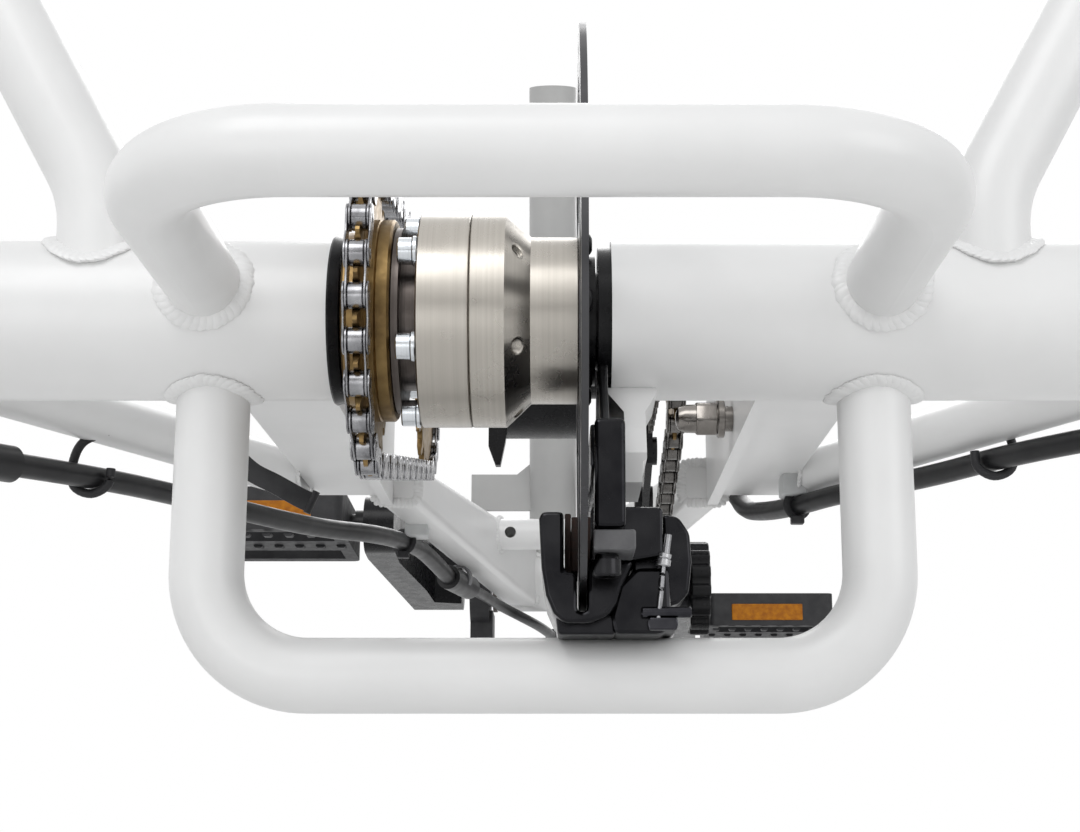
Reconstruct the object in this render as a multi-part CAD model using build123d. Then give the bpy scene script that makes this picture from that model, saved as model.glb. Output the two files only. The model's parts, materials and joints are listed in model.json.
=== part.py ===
"""Rear frame and drive of an electric tricycle.

White welded aluminium frame with two axle tubes, two guard hoops, and a pair of stays that run
forward to the bottom bracket shell and the seat tube. The cranks drive a jackshaft by a chain on
the right. A second chain on the left drives a differential between the axle tubes. The
differential carries the brake disc, and two half shafts run out of it to the wheels.

Everything is first drawn about the axle: X to the right, Y forward, Z up, in millimetres, with
zero in the middle of the axle. On writing, it is moved so that zero is the middle of the seat
tube's reamed bore, where a stand or a seat post holds this piece.
"""
from build123d import *
import math
import os

# ---------------------------------------------------------------- driving dimensions
TUBE_RADIUS, TUBE_WALL = 24.5, 3.0    # axle tubes
TUBE_LEFT_IN, TUBE_RIGHT_IN, TUBE_OUT = -64.0, 20.4, 270.0
TUBE_BORE = TUBE_RADIUS - TUBE_WALL

HOOP_RADIUS, HOOP_WALL = 11.1, 2.0    # guard hoops, bent from one size of tube
HOOP_HALF_WIDTH, LOWER_HOOP_BEND = 100.5, 31.0
UPPER_HOOP_BACK, UPPER_HOOP_Z, UPPER_HOOP_BEND = -132.0, 5.5, 40.0
LOWER_HOOP_Z = -108.3

SHAFT_RADIUS = 8.5                    # half shafts
SHAFT_END, SEAT_START, THREAD_LENGTH = 340.0, 284.0, 16.0
THREAD_RADIUS, SHOULDER_RADIUS = 7.0, 12.0

DRUM_RADIUS, HUB_RADIUS = 32.8, 25.6  # differential housing
DRUM_LEFT, DRUM_SEAM, DRUM_RIGHT, CONE_END, HUB_END = -37.2, -21.7, -11.3, -3.8, 10.6
ADAPTER_RADIUS = 21.5                 # what carries the freewheel
JOURNAL_RADIUS = 15.0                 # where the housing turns in its bearings
RUNNING = 0.05

ROTOR_RADIUS, ROTOR_THICK = 90.0, 2.0
ROTOR_X = HUB_END + ROTOR_THICK / 2

PITCH = 12.7                          # half inch chain
CHAIN_WIDTH, CHAIN_HEIGHT = 7.8, 8.4
AXLE_TEETH, AXLE_LINKS, AXLE_CHAIN_X = 22, 56, -52.8
JACK_TEETH, RING_TEETH, CRANK_CHAIN_X = 16, 32, 52.5


def pitch_radius(teeth):
    """Radius on which the chain's pins lie on a sprocket."""
    return PITCH / (2 * math.sin(math.pi / teeth))


CENTRES = (AXLE_LINKS - AXLE_TEETH) / 2 * PITCH
CHAIN_RISE = math.radians(10.4)
JACK_Y, JACK_Z = CENTRES * math.cos(CHAIN_RISE), CENTRES * math.sin(CHAIN_RISE)

CRANK_Y, CRANK_Z = 576.0, -5.0        # crank spindle, 82 links of chain ahead of the jackshaft
CRANK_LENGTH, CRANK_TILT = 165.0, -2.45
SPINDLE_RADIUS = 8.5
SHELL_RADIUS, SHELL_BORE, SHELL_LENGTH = 20.0, 34.8, 68.0

SEAT_TUBE_RADIUS, SEAT_TUBE_LENGTH, SEAT_TUBE_LEAN = 14.3, 300.0, 15.0
SEAT_BORE, SEAT_BORE_LENGTH, SEAT_RELIEF_BORE = 25.4, 200.0, 26.0

PLATE_THICK, PLATE_X = 5.0, 75.0      # jackshaft plates
CARRIER_IN, CARRIER_OUT, CARRIER_WALL = 77.5, 107.5, 3.0
CARRIER_FRONT = 290.0

BEAM_WIDTH, BEAM_WALL = 20.0, 2.5     # front stays, taller towards the bottom bracket
BEAM_REAR, BEAM_REAR_HEIGHT = (75.3, 267.4, 3.2), 17.0
BEAM_FRONT, BEAM_FRONT_HEIGHT = (17.4, 576.0, -3.4), 40.0
STAY_RADIUS, STAY_WALL = 10.0, 2.0    # outer stays
STAY_FOOT, STAY_FRONT = (228.0, 0.0, -2.0), (100.0, 262.0, -3.0)
BRIDGE_RADIUS, BRIDGE_Y, BRIDGE_Z = 8.5, 461.0, 5.0

UPRIGHT_FOOT_X, UPRIGHT_KNEE_Z, UPRIGHT_LEAN, UPRIGHT_TOP_Z = 136.5, 38.0, 29.0, 172.0

CALIPER_Z = -78.0                     # caliper under the axle, on two posts

seat_lean = math.radians(SEAT_TUBE_LEAN)
post_slope = math.tan(math.radians(UPRIGHT_LEAN))
UPRIGHT_TOP_X = UPRIGHT_FOOT_X + (UPRIGHT_TOP_Z - UPRIGHT_KNEE_Z) * post_slope
SEAT_MIDDLE = SEAT_TUBE_LENGTH - SEAT_BORE_LENGTH / 2
SEAT_Y = CRANK_Y - SEAT_MIDDLE * math.sin(seat_lean)
SEAT_Z = CRANK_Z + SEAT_MIDDLE * math.cos(seat_lean)
TO_SEAT = Location((0, -SEAT_Y, -SEAT_Z))


# ---------------------------------------------------------------- helpers
def bar(radius, x0, x1, y=0.0, z=0.0):
    """Round bar along X from x0 to x1."""
    body = Cylinder(radius, x1 - x0, rotation=(0, 90, 0))
    return Pos((x0 + x1) / 2, y, z) * body


def ring(outer, inner, x0, x1, y=0.0, z=0.0):
    """Round bar along X with a round hole."""
    return bar(outer, x0, x1, y, z) - bar(inner, x0 - 1, x1 + 1, y, z)


def block(x0, x1, y0, y1, z0, z1):
    """Box between two corners."""
    middle = Pos((x0 + x1) / 2, (y0 + y1) / 2, (z0 + z1) / 2)
    return middle * Box(x1 - x0, y1 - y0, z1 - z0)


def around_axle(shape, count, first=0.0):
    """Copies of a shape, evenly spaced about the axle line."""
    return [Rot(X=first + 360.0 * i / count) * shape for i in range(count)]


def side_face(points):
    """Flat face in the YZ plane, with its outline given as (y, z) points."""
    return make_face(Plane.YZ * Polyline(*points, close=True))


def side_plate(points, x, thick, round_by=0.0):
    """Flat plate square to X, centred on x."""
    plate = Pos(x - thick / 2, 0, 0) * extrude(side_face(points), thick, dir=(1, 0, 0))
    if round_by:
        plate = fillet(plate.edges().filter_by(Axis.X), round_by)
    return plate


def bent_tube(points, radius, wall, bends):
    """Round tube along straight runs joined by bends of the given radius."""
    path = FilletPolyline(*points, radius=bends)
    start = Plane(path @ 0, z_dir=path % 0)
    section = start * (Circle(radius) - Circle(radius - wall))
    return sweep(section, path)


def straight_tube(start, end, radius, wall):
    """Round tube between two points."""
    direction = Vector(*end) - Vector(*start)
    section = Plane(start, z_dir=direction) * (Circle(radius) - Circle(radius - wall))
    return extrude(section, direction.length, dir=direction)


def straight_solid(start, end, radius):
    """Round solid bar between two points."""
    direction = Vector(*end) - Vector(*start)
    return extrude(Plane(start, z_dir=direction) * Circle(radius), direction.length, dir=direction)


def cable(name, points, radius):
    """Round solid cable through a route, with each bend as wide as its two runs allow."""
    route = [Vector(*p) for p in points]
    bends = []
    for before, here, after in zip(route, route[1:], route[2:]):
        turn = (here - before).get_angle(after - here)
        shorter = min((here - before).length, (after - here).length)
        bends.append(0.45 * shorter / math.tan(math.radians(turn) / 2))
    path = FilletPolyline(*route, radius=bends)
    tube = sweep(Plane(path @ 0, z_dir=path % 0) * Circle(radius), path)
    ratio = tube.volume / (math.pi * radius ** 2 * path.length)
    print(name, "length", round(path.length), "smallest bend", round(min(bends)), "volume", round(ratio, 3))
    return tube


def save(name, shape):
    """Move a piece so that the seat tube's bore is at zero, and write it."""
    solids = shape.solids() if hasattr(shape, "solids") else shape
    piece = solids[0] if len(solids) == 1 else Compound(children=list(solids))
    export_step(TO_SEAT * piece, f"parts/{name}.step")


def mirrored(shape):
    """The same piece for the left side."""
    return mirror(shape, about=Plane.YZ)


def save_pair(name, right):
    """Write a piece for the right side and its mirror image for the left."""
    save(f"right_{name}", right)
    save(f"left_{name}", mirrored(right))


def largest(shape):
    """The biggest solid, where a cut left crumbs."""
    return shape.solids().sort_by(SortBy.VOLUME)[-1]


# ---------------------------------------------------------------- frame
AXLE_SOLID = bar(TUBE_RADIUS, -TUBE_OUT, TUBE_OUT)
SHELL_SOLID = bar(SHELL_RADIUS, -90, 90, CRANK_Y, CRANK_Z)
SEAT_AXIS = Plane((0, CRANK_Y, CRANK_Z), z_dir=(0, -math.sin(seat_lean), math.cos(seat_lean)))
SEAT_SOLID = extrude(SEAT_AXIS * Circle(SEAT_TUBE_RADIUS), SEAT_TUBE_LENGTH)
CARRIER_OUTLINE = [(0, -14), (60, -6), (285, -4), (CARRIER_FRONT, 2), (CARRIER_FRONT, 34),
                   (250, 60), (170, 62), (60, 24), (0, 16)]
PLATE_OUTLINE = [(0, -14), (60, -8), (288, -8), (CARRIER_FRONT, 2), (CARRIER_FRONT, 34),
                 (250, 62), (170, 66), (60, 26), (0, 16)]



def axle_tubes():
    save("left_axle_tube", ring(TUBE_RADIUS, TUBE_BORE, -TUBE_OUT, TUBE_LEFT_IN))
    save("right_axle_tube", ring(TUBE_RADIUS, TUBE_BORE, TUBE_RIGHT_IN, TUBE_OUT))


def guard_hoops():
    w = HOOP_HALF_WIDTH
    upper = [(-w, 0, UPPER_HOOP_Z), (-w, UPPER_HOOP_BACK, UPPER_HOOP_Z),
             (w, UPPER_HOOP_BACK, UPPER_HOOP_Z), (w, 0, UPPER_HOOP_Z)]
    lower = [(-w, 0, 0), (-w, 0, LOWER_HOOP_Z), (w, 0, LOWER_HOOP_Z), (w, 0, 0)]
    save("guard_hoop_upper", bent_tube(upper, HOOP_RADIUS, HOOP_WALL, UPPER_HOOP_BEND) - AXLE_SOLID)
    save("guard_hoop_lower", bent_tube(lower, HOOP_RADIUS, HOOP_WALL, LOWER_HOOP_BEND) - AXLE_SOLID)


def tapered(shrink, round_by):
    """Rectangular bar from the rear end of a front stay to its front end, thinner by a wall."""
    start, end = Vector(*BEAM_REAR), Vector(*BEAM_FRONT)
    along = end - start
    sections = []
    for place, height in ((start, BEAM_REAR_HEIGHT), (end, BEAM_FRONT_HEIGHT)):
        frame = Plane(place, x_dir=along.cross(Vector(0, 0, 1)), z_dir=along)
        sections.append(frame * RectangleRounded(BEAM_WIDTH - shrink, height - shrink, round_by))
    return loft(sections)


def beam():
    """Tapered stay from the carrier's front wall to the bottom bracket shell."""
    behind = block(-200, 200, 0, CARRIER_FRONT, -200, 200)
    outer = tapered(0, 4) - behind
    inner = tapered(2 * BEAM_WALL, 2) - behind.moved(Pos(0, 3, 0))
    middle = block(-200, 0, 0, 900, -200, 200)
    return largest(outer - inner - middle - SHELL_SOLID - SEAT_SOLID), outer


def carriers_and_stays():
    solid = side_plate(CARRIER_OUTLINE, (CARRIER_IN + CARRIER_OUT) / 2, CARRIER_OUT - CARRIER_IN)
    outline = make_face(Polyline(*CARRIER_OUTLINE, close=True))
    inside = Plane.YZ * offset(outline, -CARRIER_WALL)
    depth = CARRIER_OUT - CARRIER_IN - 2 * CARRIER_WALL
    inside = Pos(CARRIER_IN + CARRIER_WALL, 0, 0) * extrude(inside, depth, dir=(1, 0, 0))
    slot = Pos(0, JACK_Y + 4, JACK_Z) * Rot(Y=90) * Rot(Z=90) * SlotOverall(22, 10.4)
    slot = Pos(70, 0, 0) * extrude(slot, 12, dir=(1, 0, 0))
    square, square_solid = beam()
    save_pair("carrier", largest(solid - inside - slot - AXLE_SOLID))
    plate = side_plate(PLATE_OUTLINE, PLATE_X, PLATE_THICK) - slot - AXLE_SOLID
    save_pair("jackshaft_plate", largest(plate))
    save_pair("stay", square)
    outer = straight_tube(STAY_FOOT, STAY_FRONT, STAY_RADIUS, STAY_WALL)
    inboard = block(0, CARRIER_OUT, 0, 400, -60, 100)
    save_pair("outer_stay", largest(outer - AXLE_SOLID - inboard))
    bridge = ring(BRIDGE_RADIUS, BRIDGE_RADIUS - 1.5, -45, 45, BRIDGE_Y, BRIDGE_Z)
    hole = Pos(-22.9, BRIDGE_Y - 10, BRIDGE_Z) * Rot(X=90) * Cylinder(3.1, 20)
    save("stay_bridge", largest(bridge - hole - square_solid - mirrored(square_solid)))


def bottom_bracket():
    half = SHELL_LENGTH / 2
    save("bottom_bracket_shell", ring(SHELL_RADIUS, SHELL_BORE / 2, -half, half, CRANK_Y, CRANK_Z))
    cup = ring(SHELL_BORE / 2, SPINDLE_RADIUS + RUNNING, 14, half, CRANK_Y, CRANK_Z)
    cup = cup + ring(SHELL_RADIUS + 0.5, SPINDLE_RADIUS + RUNNING, half, half + 2.5, CRANK_Y, CRANK_Z)
    save("bottom_bracket_cups", Compound(children=[cup, mirrored(cup)]))
    sensor = bar(30.0, -50.0, -38.5, CRANK_Y, CRANK_Z)
    sensor = sensor + block(-50, -36.5, CRANK_Y - 11, CRANK_Y + 24, CRANK_Z - 45, CRANK_Z - 20.6)
    save("pedal_sensor", sensor - bar(SPINDLE_RADIUS + 1.5, -60, -30, CRANK_Y, CRANK_Z))


def seat_tube():
    relief = extrude(SEAT_AXIS * Circle(SEAT_RELIEF_BORE / 2), SEAT_TUBE_LENGTH - SEAT_BORE_LENGTH)
    bore = extrude(SEAT_AXIS * Circle(SEAT_BORE / 2), SEAT_TUBE_LENGTH + 5)
    save("seat_tube", largest(SEAT_SOLID - relief - bore - SHELL_SOLID))
    points = [(-50, 35), (0, 35), (0, 72), (-14, 64), (-22, 57.4), (-50, 57.4)]
    outline = make_face(Plane.XZ * Polyline(*points, close=True))
    gusset = Pos(0, CRANK_Y - 13, 0) * extrude(outline, 3, dir=(0, -1, 0))
    save("seat_tube_gusset", largest(gusset - SEAT_SOLID))


def uprights():
    """Oval post that stands on the axle tube, bends outward, and has a pad for the cargo rack."""
    foot = Vector(UPRIGHT_FOOT_X, 0, 0)
    knee = Vector(UPRIGHT_FOOT_X, 0, UPRIGHT_KNEE_Z)
    above = 20.0
    top = Vector(UPRIGHT_TOP_X + above * post_slope, 0, UPRIGHT_TOP_Z + above)
    path = FilletPolyline(foot, knee, top, radius=45)
    section = Plane(path @ 0, x_dir=(0, 1, 0), z_dir=path % 0) * (SlotOverall(40, 25) - SlotOverall(36, 21))
    post = sweep(section, path)
    post = post - AXLE_SOLID - block(-400, 400, -60, 60, UPRIGHT_TOP_Z, 300)
    save_pair("upright", largest(post))
    pad = block(-35, 35, -20, 20, UPRIGHT_TOP_Z, UPRIGHT_TOP_Z + 5)
    pad = fillet(pad.edges().filter_by(Axis.Z), 6)
    for offset_x in (-25, 25):
        pad = pad - Pos(offset_x, 0, UPRIGHT_TOP_Z) * Cylinder(3.3, 30)
    pads = [Pos(side * UPRIGHT_TOP_X, 0, 0) * pad for side in (-1, 1)]
    save("rack_pads", Compound(children=pads))


# ---------------------------------------------------------------- bearings
def bearings():
    inner = [ring(TUBE_BORE, JOURNAL_RADIUS + RUNNING, *span) for span in ((-80, -66), (22, 36))]
    save("inner_bearings", Compound(children=inner))
    outer = ring(TUBE_BORE, SHAFT_RADIUS + RUNNING, TUBE_OUT - 12, TUBE_OUT + 2)
    save("outer_bearings", Compound(children=[outer, mirrored(outer)]))
    cap = ring(22.5, JOURNAL_RADIUS + 0.5, 16.4, TUBE_RIGHT_IN)
    save("right_bearing_cap", cap + ring(TUBE_BORE, JOURNAL_RADIUS + 0.5, TUBE_RIGHT_IN, 22.0))
    shield = ring(33.0, 23.0, -63.0, -60.3) + ring(24.0, 17.0, -64.0, -62.0)
    save("freewheel_shield", shield + ring(TUBE_BORE, 17.0, -66.0, -64.0))


# ---------------------------------------------------------------- differential
def differential():
    left = bar(DRUM_RADIUS, DRUM_LEFT, DRUM_SEAM) - bar(SHAFT_RADIUS + 1, -100, 0)
    profile = [(DRUM_SEAM, SHAFT_RADIUS + 1), (DRUM_SEAM, DRUM_RADIUS), (DRUM_RIGHT, DRUM_RADIUS),
               (CONE_END, HUB_RADIUS), (HUB_END, HUB_RADIUS), (HUB_END, SHAFT_RADIUS + 1)]
    outline = make_face(Plane.XY * Polyline(*profile, close=True))
    save("differential_left_cover", left)
    save("differential_housing", revolve(outline, Axis.X))
    adapter = bar(ADAPTER_RADIUS, -59.8, DRUM_LEFT) + bar(28.5, -44.6, -42.6)
    adapter = adapter + bar(JOURNAL_RADIUS, -82.0, -59.8)
    save("freewheel_hub", adapter - bar(SHAFT_RADIUS + 1, -100, 0))
    journal = bar(JOURNAL_RADIUS, ROTOR_X + 1, 38.0) + bar(20.0, ROTOR_X + 1, 15.6)
    save("differential_journal", journal - bar(SHAFT_RADIUS + 1, 0, 60))


def brake_rotor():
    rotor = ring(ROTOR_RADIUS, 74.0, ROTOR_X - 1, ROTOR_X + 1)
    rotor = rotor + ring(30.0, SHAFT_RADIUS + 1, ROTOR_X - 1, ROTOR_X + 1)
    arm = Rot(X=12) * block(ROTOR_X - 1, ROTOR_X + 1, -4.5, 4.5, 28, 76)
    for piece in around_axle(arm, 6):
        rotor = rotor + piece
    hole = bar(2.4, ROTOR_X - 2, ROTOR_X + 2, 0, 82)
    for piece in around_axle(hole, 24):
        rotor = rotor - piece
    save("brake_rotor", rotor)


# ---------------------------------------------------------------- chains and sprockets
def sprocket_disc(teeth, bore, x, y, z):
    """Sprocket up to the roots of its teeth, just clear of the chain's inner side."""
    return ring(pitch_radius(teeth) - CHAIN_HEIGHT / 2 - 0.3, bore, x - 1.15, x + 1.15, y, z)


def belt_face(big, small, span):
    """Outline round two circles and the straight runs between them, big one at zero, along X."""
    lean = math.asin((big - small) / span)
    up = (math.sin(lean), math.cos(lean))
    corners = [(big * up[0], big * up[1]), (span + small * up[0], small * up[1]),
               (span + small * up[0], -small * up[1]), (big * up[0], -big * up[1])]
    return Circle(big) + Pos(span, 0) * Circle(small) + make_face(Polyline(*corners, close=True))


def chain_band(x, big_teeth, big_at, small_teeth, small_at):
    """Closed band as wide and as thick as the chain, round two sprockets."""
    dy, dz = small_at[0] - big_at[0], small_at[1] - big_at[1]
    span, half = math.hypot(dy, dz), CHAIN_HEIGHT / 2
    big, small = pitch_radius(big_teeth), pitch_radius(small_teeth)
    band = belt_face(big + half, small + half, span) - belt_face(big - half, small - half, span)
    across = Plane((x, *big_at), x_dir=(0, dy, dz), z_dir=(1, 0, 0))
    return extrude(across * band, CHAIN_WIDTH / 2, both=True)


def chains():
    jack, axle, crank = (JACK_Y, JACK_Z), (0.0, 0.0), (CRANK_Y, CRANK_Z)
    body = ring(31.0, ADAPTER_RADIUS + 0.4, -59.6, -44.9)
    save("freewheel_ring", body + sprocket_disc(AXLE_TEETH, ADAPTER_RADIUS + 0.4, AXLE_CHAIN_X, *axle))
    save("drive_chain", chain_band(AXLE_CHAIN_X, AXLE_TEETH, axle, AXLE_TEETH, jack))
    save("crank_chain", chain_band(CRANK_CHAIN_X, RING_TEETH, crank, JACK_TEETH, jack))
    left = sprocket_disc(AXLE_TEETH, 5.0, AXLE_CHAIN_X, *jack) + ring(14.0, 5.0, -58.0, -46.0, *jack)
    right = sprocket_disc(JACK_TEETH, 5.0, CRANK_CHAIN_X, *jack) + ring(14.0, 5.0, 48.0, 58.0, *jack)
    save("jackshaft_sprockets", Compound(children=[left, right]))
    rim = sprocket_disc(RING_TEETH, pitch_radius(RING_TEETH) - 15, CRANK_CHAIN_X, *crank)
    spider = ring(24.0, SPINDLE_RADIUS, CRANK_CHAIN_X - 1.15, 55.0, *crank)
    arm = block(CRANK_CHAIN_X - 1.15, CRANK_CHAIN_X + 1.15, -5.5, 5.5, 20, 52)
    for piece in around_axle(arm, 5, 18):
        spider = spider + Pos(0, *crank) * piece
    save("chainring", rim + spider)


def jackshaft():
    end = CARRIER_IN + 6.5
    shaft = bar(5.0, -end, end, JACK_Y, JACK_Z)
    shaft = shaft + bar(8.0, 58.0, PLATE_X - 2.5, JACK_Y, JACK_Z)
    save("jackshaft", shaft + bar(8.0, 2.5 - PLATE_X, -58.0, JACK_Y, JACK_Z))
    hub = ring(31.0, 5.0, -20.0, 14.0, JACK_Y, JACK_Z) + ring(26.0, 5.0, -46.0, -20.0, JACK_Y, JACK_Z)
    hub = hub + ring(14.0, 5.0, 14.0, 48.0, JACK_Y, JACK_Z)
    tab = [(-25, 20), (-25, 2), (-22, -6), (-20, -6), (-18, 4), (-16, 20)]
    tab = make_face(Plane.XZ * Polyline(*tab, close=True))
    save("jackshaft_hub", hub + (Pos(0, JACK_Y - 6, 0) * extrude(tab, 5, dir=(0, -1, 0))))


def chain_tensioner():
    """Arm with two rollers, on a pin from the right plate, that steadies the crank chain."""
    outline = [(214, 10), (218, -2), (262, -17), (298, -26), (302, -18), (270, 4), (268, 50), (256, 50),
               (252, 4)]
    arm = side_plate(outline, 42.5, 3.0)
    pin = bar(5.0, 41.0, PLATE_X - 2.5, 262, 44)
    rollers = bar(6.0, 38.0, 46.0, 222, 4) + bar(6.0, 38.0, 46.0, 262, -10)
    save("chain_tensioner", arm + pin + rollers)


# ---------------------------------------------------------------- cranks and pedals
def placed_crank(shape, turn):
    """From a drawing with the arm forward to its place on the spindle."""
    return Pos(0, CRANK_Y, CRANK_Z) * Rot(X=CRANK_TILT) * Rot(Z=turn) * shape


def crank(side_name, turn):
    """Crank arm with its pedal axle."""
    outline = Plane.YZ * belt_face(19.0, 15.0, CRANK_LENGTH)
    arm = Pos(55, 0, 0) * extrude(outline, 46, dir=(1, 0, 0))
    plan = [(85, -20), (85, 0), (98, 150), (98, 182), (82, 182), (82, 140), (73, 60), (71, 24), (55, 20),
            (55, -20)]
    top = make_face(Plane.XY * Polyline(*plan, close=True))
    arm = arm & (Pos(0, 0, -30) * extrude(top, 60, dir=(0, 0, 1)))
    arm = arm + bar(8.0, 90, 103, CRANK_LENGTH) + bar(6.0, 98, 176, CRANK_LENGTH)
    arm = arm - bar(SPINDLE_RADIUS, 50, 84)
    save(f"{side_name}_crank", placed_crank(arm, turn))


def pedal(side_name, turn):
    """Platform pedal that turns on the crank's axle."""
    body = block(105.5, 190, -45, 45, -11, 11)
    body = fillet(body.edges().filter_by(Axis.Z), 4)
    body = body - block(112.5, 183, 13, 37, -20, 20) - block(112.5, 183, -37, -13, -20, 20)
    body = body - bar(6.0 + RUNNING, 100, 177)
    save(f"{side_name}_pedal", placed_crank(Pos(0, CRANK_LENGTH, 0) * body, turn))


def crankset():
    save("crank_spindle", bar(SPINDLE_RADIUS, -84.0, 84.0, CRANK_Y, CRANK_Z))
    for side_name, turn in (("right", 0), ("left", 180)):
        crank(side_name, turn)
        pedal(side_name, turn)


# ---------------------------------------------------------------- half shafts
def half_shafts():
    for name, inner in (("left", 40.0), ("right", 16.0)):
        shaft = bar(SHAFT_RADIUS, inner, SHAFT_END - THREAD_LENGTH)
        shaft = shaft + bar(SHOULDER_RADIUS, TUBE_OUT + 2.5, SEAT_START)
        shaft = shaft + bar(THREAD_RADIUS, SHAFT_END - THREAD_LENGTH, SHAFT_END)
        save(f"{name}_half_shaft", mirrored(shaft) if name == "left" else shaft)


# ---------------------------------------------------------------- brake
def brake():
    tab = [(-2, -15), (22, -15), (24, -40), (14, -54), (-20, -54), (-24, -46), (-20, -38)]
    tab = side_plate(tab, 27.0, 30.0)
    front = [(19.2, -5), (34, -5), (34, -25), (30.2, -32), (30.2, -47.6), (29, -48.4), (29, -60), (24, -60),
             (23.9, -47.6), (23.9, -32), (19.2, -25)]
    front = make_face(Plane.XZ * Polyline(*front, close=True))
    save("brake_tab", largest((tab & extrude(front, 60, both=True)) - AXLE_SOLID))
    carrier = block(14.6, 23.9, -46, 46, -69.5, -40)
    carrier = carrier - block(10, 30, -26, 26, -80, -55)
    save("caliper_bracket", fillet(carrier.edges().filter_by(Axis.X), 3))
    low, high = CALIPER_Z - 18, CALIPER_Z + 17
    body = block(-1.6, 30.0, -25, 25, low, high)
    body = fillet(body.edges().filter_by(Axis.Y).group_by(Axis.Z)[0], 9)
    body = body + block(14.6, 26.2, -46, 46, -76.4, -69.5)
    body = body + bar(16.0, 30.0, 34.6, 0, CALIPER_Z) + block(26, 39, 10, 25, low, low + 9)
    body = body - block(ROTOR_X - 3.0, ROTOR_X + 3.0, -60, 60, -92, -40)
    body = body - block(14.0, 31.0, -25.9, 25.9, -69.5, -40)
    save("caliper_body", body)
    pads = [block(ROTOR_X + 1.3, ROTOR_X + 3.0, -13, 13, -89, -73),
            block(ROTOR_X - 3.0, ROTOR_X - 1.3, -13, 13, -89, -73)]
    save("brake_pads", Compound(children=pads))
    arm = side_plate([(-11, -86), (-11, -70), (2, -63), (26, -63), (32, -70), (26, -76), (13, -78), (10, -88),
                      (0, -92)], 38.4, 7.6, 2)
    save("caliper_arm", arm)


# ---------------------------------------------------------------- cables
def cables():
    left = [(-187, 84, -28.5), (-166, 125.5, -25.7), (-142, 176, -24.6), (-115, 229.5, -24.6),
            (-100, 268, -22.5), (-80, 305, -19), (-68, 362, -15.8), (-62, 389, -18), (-55, 425, -23.5)]
    left_front = [(-46, 462, -24.5), (-41, 490, -24.2), (-31, 537, -26.2), (-18, 556, -31), (-6, 590, -34),
                  (0, 622, -36)]
    right = [(196, 75, -20), (173, 111, -18.7), (152, 154, -18.9), (133.5, 188, -17.9), (119.5, 207, -17.6),
             (109, 231, -17.6), (98.5, 265, -15), (90, 288, -11), (86.5, 302, 1), (82, 330, 6),
             (75.5, 362, 9), (68, 400, 9)]
    brake_line = [(34, 25.4, -91.5), (34, 52, -96), (33, 90, -94), (31.5, 140, -80), (30, 200, -58),
                  (30, 260, -40), (31.5, 320, -28), (33, 380, -20), (30.5, 440, -20), (25, 500, -24),
                  (18, 548, -30)]
    routes = {"left_cable": (left, 4.25), "left_cable_front": (left_front, 3.0),
              "right_cable": (right, 4.25), "brake_cable": (brake_line, 2.5)}
    tubes = {name: cable(name, points, radius) for name, (points, radius) in routes.items()}
    for name, tube in tubes.items():
        save(name, tube)
    plugs = [straight_solid(left[-1], left_front[0], 6.5)]
    for end, beside, size, length in ((left[0], left[1], 6.5, 26), (left_front[-1], left_front[-2], 5, 24),
                                      (right[0], right[1], 6.5, 26), (right[-1], right[-2], 6.5, 30),
                                      (brake_line[-1], brake_line[-2], 3.6, 12)):
        away = (Vector(*end) - Vector(*beside)).normalized()
        plugs.append(extrude(Plane(end, z_dir=away) * Circle(size), length))
    for tube in tubes.values():
        plugs = [largest(plug - tube) for plug in plugs]
    save("cable_connectors", Compound(children=plugs))


def main():
    os.makedirs("parts", exist_ok=True)
    axle_tubes()
    guard_hoops()
    carriers_and_stays()
    bottom_bracket()
    seat_tube()
    uprights()
    bearings()
    differential()
    brake_rotor()
    chains()
    jackshaft()
    chain_tensioner()
    crankset()
    half_shafts()
    brake()
    cables()


main()
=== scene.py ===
# %% [markdown]
# # Rear frame and drive of an electric tricycle
#
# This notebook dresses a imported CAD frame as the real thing. White welded tubes carry a turned
# differential, two bicycle chains, a brake disc with its caliper, cranks, pedals and cables.
# Every cell that makes pieces prints what it made. Pieces are drawn in millimetres about
# the middle of the axle (x to the right, y forward, z up) and are then put where the frame has it.

# %% The frame
import bpy
import bmesh
import json
import math
from mathutils import Euler, Matrix, Vector


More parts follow.
